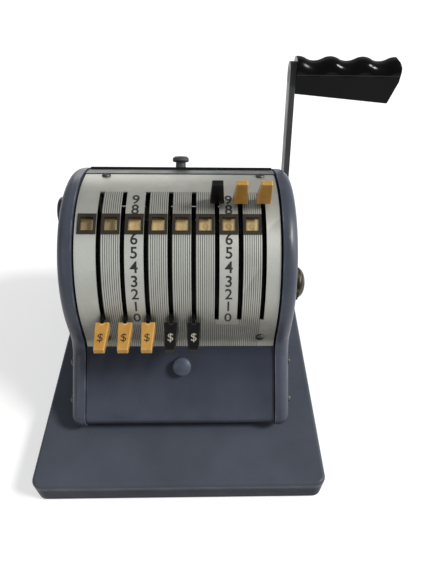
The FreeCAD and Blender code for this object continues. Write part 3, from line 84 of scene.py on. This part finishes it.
# The camera, fitted to the photo's straight edges: metres, degrees and millimetres.
CAMERA_PLACE = (0.0184 + MID_X, -0.2663, 0.3747)
CAMERA_YAW, CAMERA_PITCH, CAMERA_ROLL = 2.23, 46.12, 1.59
SENSOR_WIDTH, FOCAL_LENGTH = 36.0, 28.75


def on_drum(x, radius, angle):
    """The place at `angle` on the front of a cylinder about the drum's axis."""
    a = math.radians(angle)
    return Vector((x, DRUM_Y - radius * math.cos(a), DRUM_Z + radius * math.sin(a)))


# ---- camera -------------------------------------------------------------------------------------


def make_camera():
    yaw, pitch, roll = (math.radians(a) for a in (CAMERA_YAW, CAMERA_PITCH, CAMERA_ROLL))
    forward = Vector((math.sin(yaw) * math.cos(pitch), math.cos(yaw) * math.cos(pitch),
                      -math.sin(pitch)))
    level = Vector((math.cos(yaw), -math.sin(yaw), 0))
    upright = level.cross(forward)
    right = math.cos(roll) * level + math.sin(roll) * upright
    up = -math.sin(roll) * level + math.cos(roll) * upright
    data = bpy.data.cameras.new("photo_camera")
    data.sensor_width = SENSOR_WIDTH
    data.lens = FOCAL_LENGTH
    data.clip_start, data.clip_end = 0.01, 20
    camera = bpy.data.objects.new("photo_camera", data)
    turn = Matrix((right, up, -forward)).transposed()
    camera.matrix_world = Matrix.Translation(CAMERA_PLACE) @ turn.to_4x4()
    bpy.context.scene.collection.objects.link(camera)
    bpy.context.scene.camera = camera


# ---- material helpers ---------------------------------------------------------------------------


class Paint:
    """A material's node tree, with short calls for the nodes that its detail is made of."""

    def __init__(self, name, rough=0.4, metallic=0.0, coat=0.0, specular=0.5):
        self.material = bpy.data.materials.new(name)
        self.material.use_nodes = True
        self.tree = self.material.node_tree
        self.shader = self.tree.nodes["Principled BSDF"]
        self.shader.inputs["Roughness"].default_value = rough
        self.shader.inputs["Metallic"].default_value = metallic
        self.shader.inputs["Coat Weight"].default_value = coat
        self.shader.inputs["Coat Roughness"].default_value = 0.12
        self.shader.inputs["Specular IOR Level"].default_value = specular
        coordinates = self.add("ShaderNodeTexCoord")
        self.place = coordinates.outputs["Object"]
        self.normal = coordinates.outputs["Normal"]

    def add(self, kind, **settings):
        node = self.tree.nodes.new(kind)
        for key, value in settings.items():
            setattr(node, key, value)
        return node

    def link(self, output, socket):
        self.tree.links.new(output, socket)

    def feed(self, socket, value):
        """Gives a socket a node's output or a plain value."""
        if isinstance(value, bpy.types.NodeSocket):
            self.link(value, socket)
        else:
            socket.default_value = value

    def stretch(self, scale):
        """The place on the piece, scaled along each axis."""
        node = self.add("ShaderNodeMapping")
        node.inputs["Scale"].default_value = scale
        self.link(self.place, node.inputs["Vector"])
        return node.outputs["Vector"]

    def noise(self, scale, detail=3.0, rough=0.55, place=None):
        node = self.add("ShaderNodeTexNoise")
        node.inputs["Scale"].default_value = scale
        node.inputs["Detail"].default_value = detail
        node.inputs["Roughness"].default_value = rough
        self.link(place or self.place, node.inputs["Vector"])
        return node.outputs["Fac"]

    def math(self, operation, a, b=0.0, c=0.0):
        node = self.add("ShaderNodeMath", operation=operation)
        for socket, value in zip(node.inputs, (a, b, c)):
            self.feed(socket, value)
        return node.outputs[0]

    def both(self, *masks):
        """Where all the masks are 1."""
        whole = masks[0]
        for mask in masks[1:]:
            whole = self.math("MULTIPLY", whole, mask)
        return whole

    def between(self, value, low, high):
        return self.both(self.math("GREATER_THAN", value, low), self.math("LESS_THAN", value, high))

    def spread(self, value, low, high, to_low=0.0, to_high=1.0):
        """Maps low..high to to_low..to_high, and holds the ends beyond."""
        node = self.add("ShaderNodeMapRange")
        ends = {"Value": value, "From Min": low, "From Max": high,
                "To Min": to_low, "To Max": to_high}
        for key, v in ends.items():
            self.feed(node.inputs[key], v)
        return node.outputs["Result"]

    def mix(self, factor, a, b):
        node = self.add("ShaderNodeMix", data_type="RGBA")
        self.feed(node.inputs["Factor"], factor)
        colours = [s for s in node.inputs if s.type == "RGBA"]
        for socket, value in zip(colours, (a, b)):
            self.feed(socket, value)
        return next(s for s in node.outputs if s.type == "RGBA")

    def coordinate(self, axis, vector=None):
        """One coordinate, in metres, of the place on the piece or of another vector."""
        node = self.add("ShaderNodeSeparateXYZ")
        self.link(vector or self.place, node.inputs[0])
        return node.outputs[axis]

    def offset(self, axis, from_value):
        return self.math("SUBTRACT", self.coordinate(axis), from_value)

    def radius_about(self, centre):
        """Distance from an axis along X."""
        y, z = (self.math("POWER", self.offset(axis, centre[axis]), 2.0) for axis in (1, 2))
        return self.math("SQRT", self.math("ADD", y, z))

    def outer_edges(self, distance):
        """1 on the very edge of a solid, falling to 0 at `distance` from it."""
        node = self.add("ShaderNodeAmbientOcclusion", inside=True, only_local=True, samples=6)
        node.inputs["Distance"].default_value = distance
        return self.spread(node.outputs["AO"], 0.62, 0.92, 1.0, 0.0)

    def colour(self, value):
        self.feed(self.shader.inputs["Base Color"], value)

    def roughness(self, value):
        self.feed(self.shader.inputs["Roughness"], value)

    def bump(self, height, depth):
        node = self.add("ShaderNodeBump")
        node.inputs["Strength"].default_value = 1.0
        node.inputs["Distance"].default_value = depth
        self.link(height, node.inputs["Height"])
        self.link(node.outputs["Normal"], self.shader.inputs["Normal"])


def rgb(r, g, b):
    """An sRGB colour in 0..255 as a linear one."""
    def linear(c):
        c /= 255
        return c / 12.92 if c <= 0.04045 else ((c + 0.055) / 1.055) ** 2.4
    return (linear(r), linear(g), linear(b), 1.0)


def paler(colour, times, plus):
    """A linear colour brought towards white."""
    return tuple(min(1.0, c * times + plus) for c in colour[:3]) + (1.0,)


# ---- materials ----------------------------------------------------------------------------------


def enamel(name, light, dark, rough=0.36, edge_wear_and_highlight=0.5, specular=0.26, painted_shade=None):
    """Sprayed stoving enamel: soft clouding, orange peel, dust specks, rubbed marks, and worn edges
    whose paler line is also a painted highlight.

    The last argument gives painted shade: a darker, duller colour, the height where it starts and
    the one where it is full.
    """
    p = Paint(name, rough=rough, coat=0.03, specular=specular)
    base = p.mix(p.spread(p.noise(28, 4), 0.3, 0.7), dark, light)
    specks = p.spread(p.noise(2600, 1), 0.66, 0.74)
    base = p.mix(p.math("MULTIPLY", specks, 0.45), base, paler(light, 1.7, 0.02))
    rubs = p.spread(p.noise(60, 6, 0.75, p.stretch((1.0, 0.3, 2.2))), 0.66, 0.78)
    base = p.mix(p.math("MULTIPLY", rubs, 0.35), base, paler(light, 1.7, 0.02))
    # Worn edges: paler paint along the outer edges, which is also a painted highlight on them.
    patchy = p.spread(p.noise(90, 5, 0.7), 0.42, 0.62, 0.15, 1.0)
    worn_and_highlit = p.math("MULTIPLY", p.both(p.outer_edges(0.0009), patchy), edge_wear_and_highlight)
    base = p.mix(worn_and_highlit, base, paler(light, 3.4, 0.05))
    # Painted shade: darker, duller paint that spreads with height from start to full, with less
    # specular there.
    if painted_shade:
        darker, start, full = painted_shade
        painted_shade_mask = p.spread(p.coordinate(2), start, full)
        base = p.mix(painted_shade_mask, base, darker)
        p.feed(p.shader.inputs["Specular IOR Level"],
               p.math("MULTIPLY_ADD", painted_shade_mask, -0.8 * specular, specular))
    p.colour(base)
    p.roughness(p.spread(p.noise(45, 3), 0.3, 0.7, rough - 0.08, rough + 0.12))
    p.bump(p.noise(900, 2), 0.00002)
    return p.material


def moulded(name, light, dark, rough=0.2, marks=0.3, edge=None):
    """Moulded plastic: slight swirl, fine scratches, finger dulling and, if given, paler edges."""
    p = Paint(name, rough=rough, coat=0.05, specular=0.24)
    base = p.mix(p.spread(p.noise(70, 5, 0.6), 0.3, 0.7), dark, light)
    scratches = p.spread(p.noise(240, 6, 0.8, p.stretch((1.0, 0.15, 0.6))), 0.68, 0.78)
    base = p.mix(p.math("MULTIPLY", scratches, marks), base, paler(light, 1.5, 0.03))
    if edge:
        base = p.mix(p.math("MULTIPLY", p.outer_edges(0.0011), 0.8), base, edge)
    p.colour(base)
    p.roughness(p.spread(p.noise(35, 3), 0.3, 0.7, max(0.04, rough - 0.06), rough + 0.14))
    p.bump(p.noise(500, 3), 0.00001)
    return p.material


def grip_plastic():
    """Glossy black moulding with a fine parting line along its sides, below the finger crests."""
    p = Paint("grip_plastic", rough=0.1, coat=0.0, specular=0.12)
    base = p.mix(p.spread(p.noise(70, 5, 0.6), 0.3, 0.7), rgb(5, 5, 6), rgb(10, 10, 12))
    scratches = p.spread(p.noise(240, 6, 0.8, p.stretch((0.15, 1.0, 0.6))), 0.68, 0.78)
    base = p.mix(p.math("MULTIPLY", scratches, 0.3), base, rgb(70, 70, 72))
    seam_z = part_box("handle_grip")[1][2] - 0.0102
    seam_half = 0.00022
    seam = p.math("LESS_THAN", p.math("ABSOLUTE", p.offset(2, seam_z)), seam_half)
    p.colour(p.mix(p.math("MULTIPLY", seam, 0.7), base, rgb(70, 68, 68)))
    p.roughness(p.spread(p.noise(35, 3), 0.3, 0.7, 0.1, 0.26))
    height = p.math("SUBTRACT", p.math("MULTIPLY", p.noise(420, 3), 0.1), seam)
    p.bump(height, 0.00008)
    return p.material


def metal(name, light, dark, rough):
    """Machined metal with fine tool lines and a little staining."""
    p = Paint(name, rough=rough, metallic=1.0)
    tool = p.noise(300, 4, 0.6, p.stretch((1.0, 40.0, 40.0)))
    p.colour(p.mix(p.spread(p.noise(50, 4), 0.35, 0.7), dark, light))
    p.roughness(p.spread(tool, 0.3, 0.7, rough - 0.08, rough + 0.15))
    p.bump(tool, 0.00001)
    return p.material


def lock_brass():
    """Darkened brass, with paler turned rings about the key's axis."""
    p = Paint("lock_brass", rough=0.4, metallic=0.5, specular=0.2)
    radius = p.radius_about(middle_of("lock_barrel"))
    ring_pitch = 0.0021
    rings = p.math("SINE", p.math("MULTIPLY", radius, 2 * math.pi / ring_pitch))
    tarnish = p.mix(p.spread(p.noise(160, 4), 0.3, 0.7), rgb(32, 29, 24), rgb(52, 47, 36))
    p.colour(p.mix(p.spread(rings, 0.55, 0.95, 0.0, 0.75), tarnish, rgb(96, 88, 62)))
    p.roughness(p.spread(p.noise(120, 3), 0.3, 0.7, 0.26, 0.5))
    p.bump(rings, 0.00006)
    return p.material


def rubber():
    """Dull black rubber with a fine grain."""
    p = Paint("rubber", rough=0.75, specular=0.3)
    mottle = p.spread(p.noise(120, 4), 0.3, 0.7)
    p.colour(p.mix(mottle, (0.012, 0.012, 0.012, 1), (0.03, 0.03, 0.029, 1)))
    p.bump(p.noise(1500, 2), 0.00003)
    return p.material


def ribbon_fabric():
    """Woven ribbon soaked in dark ink."""
    p = Paint("ribbon_fabric", rough=0.9, specular=0.2)
    weave = p.add("ShaderNodeTexWave", wave_type="BANDS", bands_direction="X")
    weave.inputs["Scale"].default_value = 900
    p.link(p.place, weave.inputs["Vector"])
    p.colour(p.mix(weave.outputs["Fac"], (0.012, 0.01, 0.02, 1), (0.03, 0.02, 0.05, 1)))
    p.bump(weave.outputs["Fac"], 0.00005)
    return p.material


def plate_metal():
    """Brushed plate with fine dark lines printed between its slots, but not under the digits."""
    p = Paint("plate_metal", rough=0.42, metallic=0.6)
    x = p.coordinate(0)
    brush = p.noise(420, 5, 0.65, p.stretch((1.0, 30.0, 30.0)))
    silver = p.mix(p.spread(brush, 0.3, 0.7), rgb(192, 194, 188), rgb(214, 216, 209))
    stain = p.spread(p.noise(32, 5, 0.6), 0.55, 0.8)
    silver = p.mix(p.math("MULTIPLY", stain, 0.3), silver, rgb(152, 150, 138))
    # Painted shade: the plate is darker, in patches, towards its foot and a little towards its top.
    height = p.math("SUBTRACT", p.coordinate(2), DRUM_Z)
    patchy = p.spread(p.noise(55, 4, 0.6), 0.2, 0.6, 0.7, 1.0)
    painted_foot_shade = p.math("MULTIPLY", p.spread(height, 0.044, 0.005), 0.76)
    painted_top_shade = p.math("MULTIPLY", p.spread(height, 0.058, 0.072), 0.48)
    silver = p.mix(p.both(p.math("ADD", painted_foot_shade, painted_top_shade), patchy), silver, rgb(112, 108, 97))

    def near(centre, half):
        return p.math("LESS_THAN", p.math("ABSOLUTE", p.math("SUBTRACT", x, centre)), half)

    line_pitch, line_share = SLOT_PITCH / 11, 0.4
    phase = p.math("FRACT", p.math("DIVIDE", p.math("SUBTRACT", x, FIRST_SLOT_X), line_pitch))
    below_slot_tops = p.math("LESS_THAN", p.coordinate(1), on_drum(0, FACE_R, SLOT_TOP).y)
    line = p.both(p.math("LESS_THAN", phase, line_share), near(ROW_X, ROW_HALF), below_slot_tops)
    foot_of_scales = DRUM_Z + 0.0015
    above_foot = p.math("GREATER_THAN", p.coordinate(2), foot_of_scales)
    for column in DIGIT_COLUMNS:
        scale = p.both(near(column, SLOT_PITCH / 2), above_foot)
        line = p.both(line, p.math("SUBTRACT", 1.0, scale))
    p.colour(p.mix(p.math("MULTIPLY", line, 0.85), silver, rgb(74, 74, 68)))
    p.roughness(p.spread(brush, 0.3, 0.7, 0.38, 0.54))
    p.bump(brush, 0.000008)
    return p.material


def window_plastic():
    """Thin yellowed plastic over the digit bands, with painted shade round its rim and along its
    top, and darker over the first two.
    """
    p = Paint("window_plastic", rough=0.14, coat=0.3)
    p.shader.inputs["Alpha"].default_value = 0.32
    cloud = p.spread(p.noise(140, 4), 0.3, 0.7)
    yellowed = p.mix(cloud, rgb(204, 172, 112), rgb(236, 206, 148))
    dark_tint = p.mix(cloud, rgb(58, 50, 36), rgb(92, 80, 54))
    first_x = FIRST_SLOT_X - WINDOW_OFFSET
    # Windows along the row from the first one's middle, then pitches from the nearest middle.
    row = p.math("DIVIDE", p.math("SUBTRACT", p.coordinate(0), first_x), SLOT_PITCH)
    across = p.math("ABSOLUTE", p.math("SUBTRACT", p.math("FRACT", p.math("ADD", row, 0.5)), 0.5))
    angle = p.math("ARCTAN2", p.offset(2, DRUM_Z), p.math("SUBTRACT", DRUM_Y, p.coordinate(1)))
    up = p.math("SUBTRACT", angle, math.radians(WINDOW_ANGLE))
    # Painted shade round the sides and along the top of each window; the first two windows are
    # darker all over.
    rim = p.math("MAXIMUM", p.spread(across, 0.17, 0.27), p.spread(up, 0.012, 0.055))
    first_two = p.math("MULTIPLY", p.math("LESS_THAN", row, 1.5), 0.85)
    p.colour(p.mix(p.math("MAXIMUM", rim, first_two), yellowed, dark_tint))
    p.bump(p.noise(700, 2), 0.00001)
    return p.material


def wheel_metal():
    """Blackened steel wheels, near black also as painted shade inside the slots, each with the rim
    of its digit band painted cream.
    """
    p = Paint("wheel_metal", rough=0.5, specular=0.1)
    # Near black: blackened steel, and also painted shade for what shows through the slots.
    dark = p.mix(p.spread(p.noise(60, 4), 0.3, 0.7), rgb(8, 8, 8), rgb(20, 20, 19))
    cream = p.mix(p.spread(p.noise(180, 4), 0.3, 0.7), rgb(232, 208, 156), rgb(250, 232, 188))
    # A face's distance from the axis along its own normal tells the rim from the sides.
    y, z = (p.math("MULTIPLY", p.offset(axis, centre), p.coordinate(axis, p.normal))
            for axis, centre in ((1, DRUM_Y), (2, DRUM_Z)))
    rim = p.between(p.math("ADD", y, z), BAND_R - 0.0012, BAND_R + 0.0012)
    # The band lies beside the lever's plate, over this share of the pitch.
    pitches = p.math("DIVIDE", p.math("SUBTRACT", p.coordinate(0), FIRST_SLOT_X), SLOT_PITCH)
    beside = p.between(p.math("FRACT", pitches), 0.12, 0.83)
    p.colour(p.mix(p.both(rim, beside), dark, cream))
    p.roughness(p.spread(p.noise(90, 3), 0.3, 0.7, 0.36, 0.56))
    p.bump(p.noise(800, 3), 0.00001)
    return p.material


MATERIALS = {
    "casing_paint": enamel("casing_paint", rgb(68, 73, 85), rgb(56, 60, 70)),
    "apron_paint": enamel("apron_paint", rgb(68, 73, 85), rgb(56, 60, 70),
                          painted_shade=(rgb(44, 48, 58), 0.040, 0.086)),
    "base_paint": enamel("base_paint", rgb(72, 77, 87), rgb(65, 69, 78), edge_wear_and_highlight=0.15, specular=0.1,
                         painted_shade=(rgb(44, 48, 59), 0.0235, 0.0165)),
    "strip_paint": enamel("strip_paint", rgb(69, 72, 73), rgb(60, 63, 63), rough=0.38, edge_wear_and_highlight=0.15),
    "black_paint": enamel("black_paint", rgb(22, 22, 23), rgb(11, 11, 12), rough=0.3, edge_wear_and_highlight=0.12),
    "arm_paint": enamel("arm_paint", rgb(66, 67, 69), rgb(52, 53, 55), rough=0.34, edge_wear_and_highlight=0.4),
    "cap_plastic": moulded("cap_plastic", rgb(70, 72, 78), rgb(50, 52, 57), rough=0.3),
    "plate_metal": plate_metal(),
    "frame_plastic": moulded("frame_plastic", rgb(50, 44, 36), rgb(38, 33, 26), rough=0.45,
                             marks=0.15),
    "window_plastic": window_plastic(),
    "tab_yellow": moulded("tab_yellow", rgb(186, 141, 72), rgb(164, 120, 52),
                          edge=rgb(212, 170, 106)),
    "tab_black": moulded("tab_black", rgb(18, 18, 17), rgb(8, 8, 8), edge=rgb(46, 45, 43)),
    "grip_plastic": grip_plastic(),
    "button_plastic": moulded("button_plastic", rgb(74, 81, 94), rgb(60, 66, 78), rough=0.34),
    "knob_plastic": moulded("knob_plastic", rgb(70, 71, 73), rgb(54, 55, 57), rough=0.36),
    "lock_brass": lock_brass(),
    "brass": metal("brass", (0.62, 0.50, 0.28, 1), (0.42, 0.33, 0.18, 1), rough=0.28),
    "steel": metal("steel", (0.62, 0.62, 0.60, 1), (0.42, 0.41, 0.38, 1), rough=0.3),
    "dark_steel": metal("dark_steel", (0.30, 0.30, 0.30, 1), (0.16, 0.16, 0.16, 1), rough=0.42),
    "worn_steel": metal("worn_steel", (0.13, 0.13, 0.13, 1), (0.05, 0.05, 0.05, 1), rough=0.5),
    "wheel_metal": wheel_metal(),
    "rubber": rubber(),
    "ribbon_fabric": ribbon_fabric(),
    "spool_plastic": moulded("spool_plastic", rgb(44, 44, 46), rgb(28, 28, 30), rough=0.4),
}
# Pieces that differ from the rest of their material slot: screws and a bolt of steel that is
# blacked or has darkened with age; the cross rods, axle and collars, darkened also as painted shade
# so they show dark through the slots; and the apron, whose paint is darker towards its top as
# painted shade.
DARKENED_AND_SHADED = ("face_plate_screws", "side_screws", "grip_bolt", "rear_cover_screws", "cross_rods",
            "wheel_axle", "axle_collars")
OWN_FINISH = {**dict.fromkeys(DARKENED_AND_SHADED, "worn_steel"), "front_apron": "apron_paint"}

for entry in frame["record"]["subparts"]:
    node = nodes[entry["node"]]
    finish = OWN_FINISH.get(entry["node"], entry["material_slot"])
    node.data.materials.clear()
    node.data.materials.append(MATERIALS[finish])


# ---- printed digits -----------------------------------------------------------------------------


def character(text, size, bolder):
    """A flat character as a mesh, centred at the origin and facing +Z."""
    curve = bpy.data.curves.new("character", "FONT")
    curve.body = text
    curve.size = size
    curve.offset = bolder
    curve.align_x = "CENTER"
    curve.align_y = "CENTER"
    curve.resolution_u = 3
    drawn = bpy.data.objects.new("character", curve)
    bpy.context.scene.collection.objects.link(drawn)
    bpy.context.view_layer.update()
    depsgraph = bpy.context.evaluated_depsgraph_get()
    mesh = bpy.data.meshes.new_from_object(drawn.evaluated_get(depsgraph))
    bpy.data.objects.remove(drawn)
    return mesh


def printed(name, rows, material, body, size, bolder=0.0):
    """One piece of flat printing: each row is a character, its centre and which way its top is."""
    whole = bmesh.new()
    for text, centre, up in rows:
        mesh = character(text, size, bolder)
        turn = Matrix((RIGHT, up, RIGHT.cross(up))).transposed().to_4x4()
        mesh.transform(Matrix.Translation(centre) @ turn)
        whole.from_mesh(mesh)
    joined = bpy.data.meshes.new(name)
    whole.to_mesh(joined)
    whole.free()
    joined.materials.append(material)
    made = bpy.data.objects.new(name, joined)
    bpy.context.scene.collection.objects.link(made)
    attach(made, body)


def upward(angle):
    """The direction of rising angle on the drum."""
    a = math.radians(angle)
    return Vector((0, math.sin(a), math.cos(a)))


def ink(name, light, dark):
    """Printing ink, a little uneven."""
    p = Paint(name, rough=0.5)
    p.colour(p.mix(p.spread(p.noise(900, 3), 0.3, 0.7), dark, light))
    p.bump(p.noise(2500, 2), 0.00001)
    return p.material


black_ink = ink("black_ink", rgb(44, 42, 38), rgb(24, 23, 21))
pale_ink = ink("pale_ink", rgb(172, 166, 152), rgb(138, 130, 116))


def print_plate():
    """The plain scales of digits beside the slots; the 1 is a plain bar."""
    for side, x in zip(("left", "right"), DIGIT_COLUMNS):
        rows = []
        for digit, angle in DIGIT_ANGLES.items():
            text = "I" if digit == 1 else str(digit)
            rows.append((text, on_drum(x, FACE_R + PLATE_INK, angle), upward(angle)))
        printed(f"{side}_scale", rows, black_ink, "housing", size=0.0116, bolder=0.00017)


def print_bands():
    """The digits on each wheel, one of which stands in the window for each step of the lever.

    The wheels that rest at 0 show a blank there, as in the photo.
    """
    in_window = WINDOW_ANGLE - 1.0
    for index in range(LEVERS):
        x = FIRST_SLOT_X + index * SLOT_PITCH - WINDOW_OFFSET
        rest = 0 if index < LOW_LEVERS else 9
        rows = []
        for digit in range(10):
            angle = in_window + (rest - digit) * LEVER_STEP
            if digit or rest:
                rows.append((str(digit), on_drum(x, BAND_R + WHEEL_INK, angle), upward(angle)))
        printed(f"band_digits_{index + 1}", rows, black_ink, f"wheel_{index + 1}",
                size=0.0102, bolder=0.0003)


def mark_tabs():
    """A currency sign on the upper face of each low lever's tab; two of the tabs are black."""
    rest = math.radians(LOW_TAB_ANGLE)
    along = Vector((0, -math.cos(rest), math.sin(rest)))
    above = Vector((0, math.sin(rest), math.cos(rest)))
    root, tip = (out * along + rise * above for out, rise in (TAB_ROOT, TAB_TIP))
    up = (root - tip).normalized()
    for index in range(LOW_LEVERS):
        axis = Vector((FIRST_SLOT_X + index * SLOT_PITCH, DRUM_Y, DRUM_Z))
        centre = axis + root.lerp(tip, 0.58) + RIGHT.cross(up) * WHEEL_INK
        printed(f"tab_mark_{index + 1}", [("$", centre, up)],
                black_ink if index < 3 else pale_ink, f"wheel_{index + 1}", size=0.009)


print_plate()
print_bands()
mark_tabs()


# ---- surroundings -------------------------------------------------------------------------------


def make_floor():
    """A pale floor that looks a little brighter, to the camera and in mirrors, than it is lit."""
    bpy.ops.mesh.primitive_plane_add(size=12, location=(0, 0, 0))
    floor = bpy.context.object
    floor.name = "floor"
    p = Paint("floor", rough=0.85, specular=0.2)
    mottle = p.spread(p.noise(4, 2), 0.3, 0.7)
    p.colour(p.mix(mottle, (0.5, 0.5, 0.5, 1), (0.54, 0.54, 0.54, 1)))
    rays = p.add("ShaderNodeLightPath").outputs
    seen = p.math("ADD", rays["Is Camera Ray"], rays["Is Glossy Ray"])
    seen = p.math("ADD", seen, rays["Is Transmission Ray"])
    p.shader.inputs["Emission Color"].default_value = (1, 1, 1, 1)
    glow = p.math("MULTIPLY", p.math("MINIMUM", seen, 1.0), 0.55)
    p.feed(p.shader.inputs["Emission Strength"], glow)
    floor.data.materials.append(p.material)


def lamp(name, place, target, size, power, colour=(1, 1, 1)):
    """A round lamp that faces `target`."""
    data = bpy.data.lights.new(name, "AREA")
    data.shape = "DISK"
    data.size = size
    data.energy = power
    data.color = colour
    made = bpy.data.objects.new(name, data)
    made.location = place
    made.rotation_mode = "QUATERNION"
    made.rotation_quaternion = (Vector(target) - Vector(place)).to_track_quat("-Z", "Y")
    bpy.context.scene.collection.objects.link(made)


def make_light():
    """Soft light from high on the right, as the photo's shadows show, with weak fill."""
    world = bpy.data.worlds.new("studio")
    world.use_nodes = True
    background = world.node_tree.nodes["Background"]
    background.inputs["Color"].default_value = (1, 1, 1, 1)
    background.inputs["Strength"].default_value = 0.32
    bpy.context.scene.world = world
    key = bpy.data.lights.new("key", "SUN")
    key.energy = 3.0
    key.angle = math.radians(14)
    key.color = (1.0, 0.99, 0.97)
    made = bpy.data.objects.new("key", key)
    made.rotation_mode = "QUATERNION"
    made.rotation_quaternion = Vector((-0.70, 0.13, -0.70)).to_track_quat("-Z", "Y")
    bpy.context.scene.collection.objects.link(made)
    lamp("side", (1.1, 0.05, 0.5), (0, 0, 0.1), size=0.7, power=5, colour=(0.97, 0.98, 1.0))
    lamp("fill", (-0.9, -0.6, 0.7), (0, 0, 0.08), size=0.7, power=1.8, colour=(0.95, 0.98, 1.0))
    lamp("back", (-0.3, 1.1, 0.4), (0, 0, 0.1), size=0.6, power=2)


make_camera()
make_floor()
make_light()
bpy.context.scene.view_settings.view_transform = "Standard"
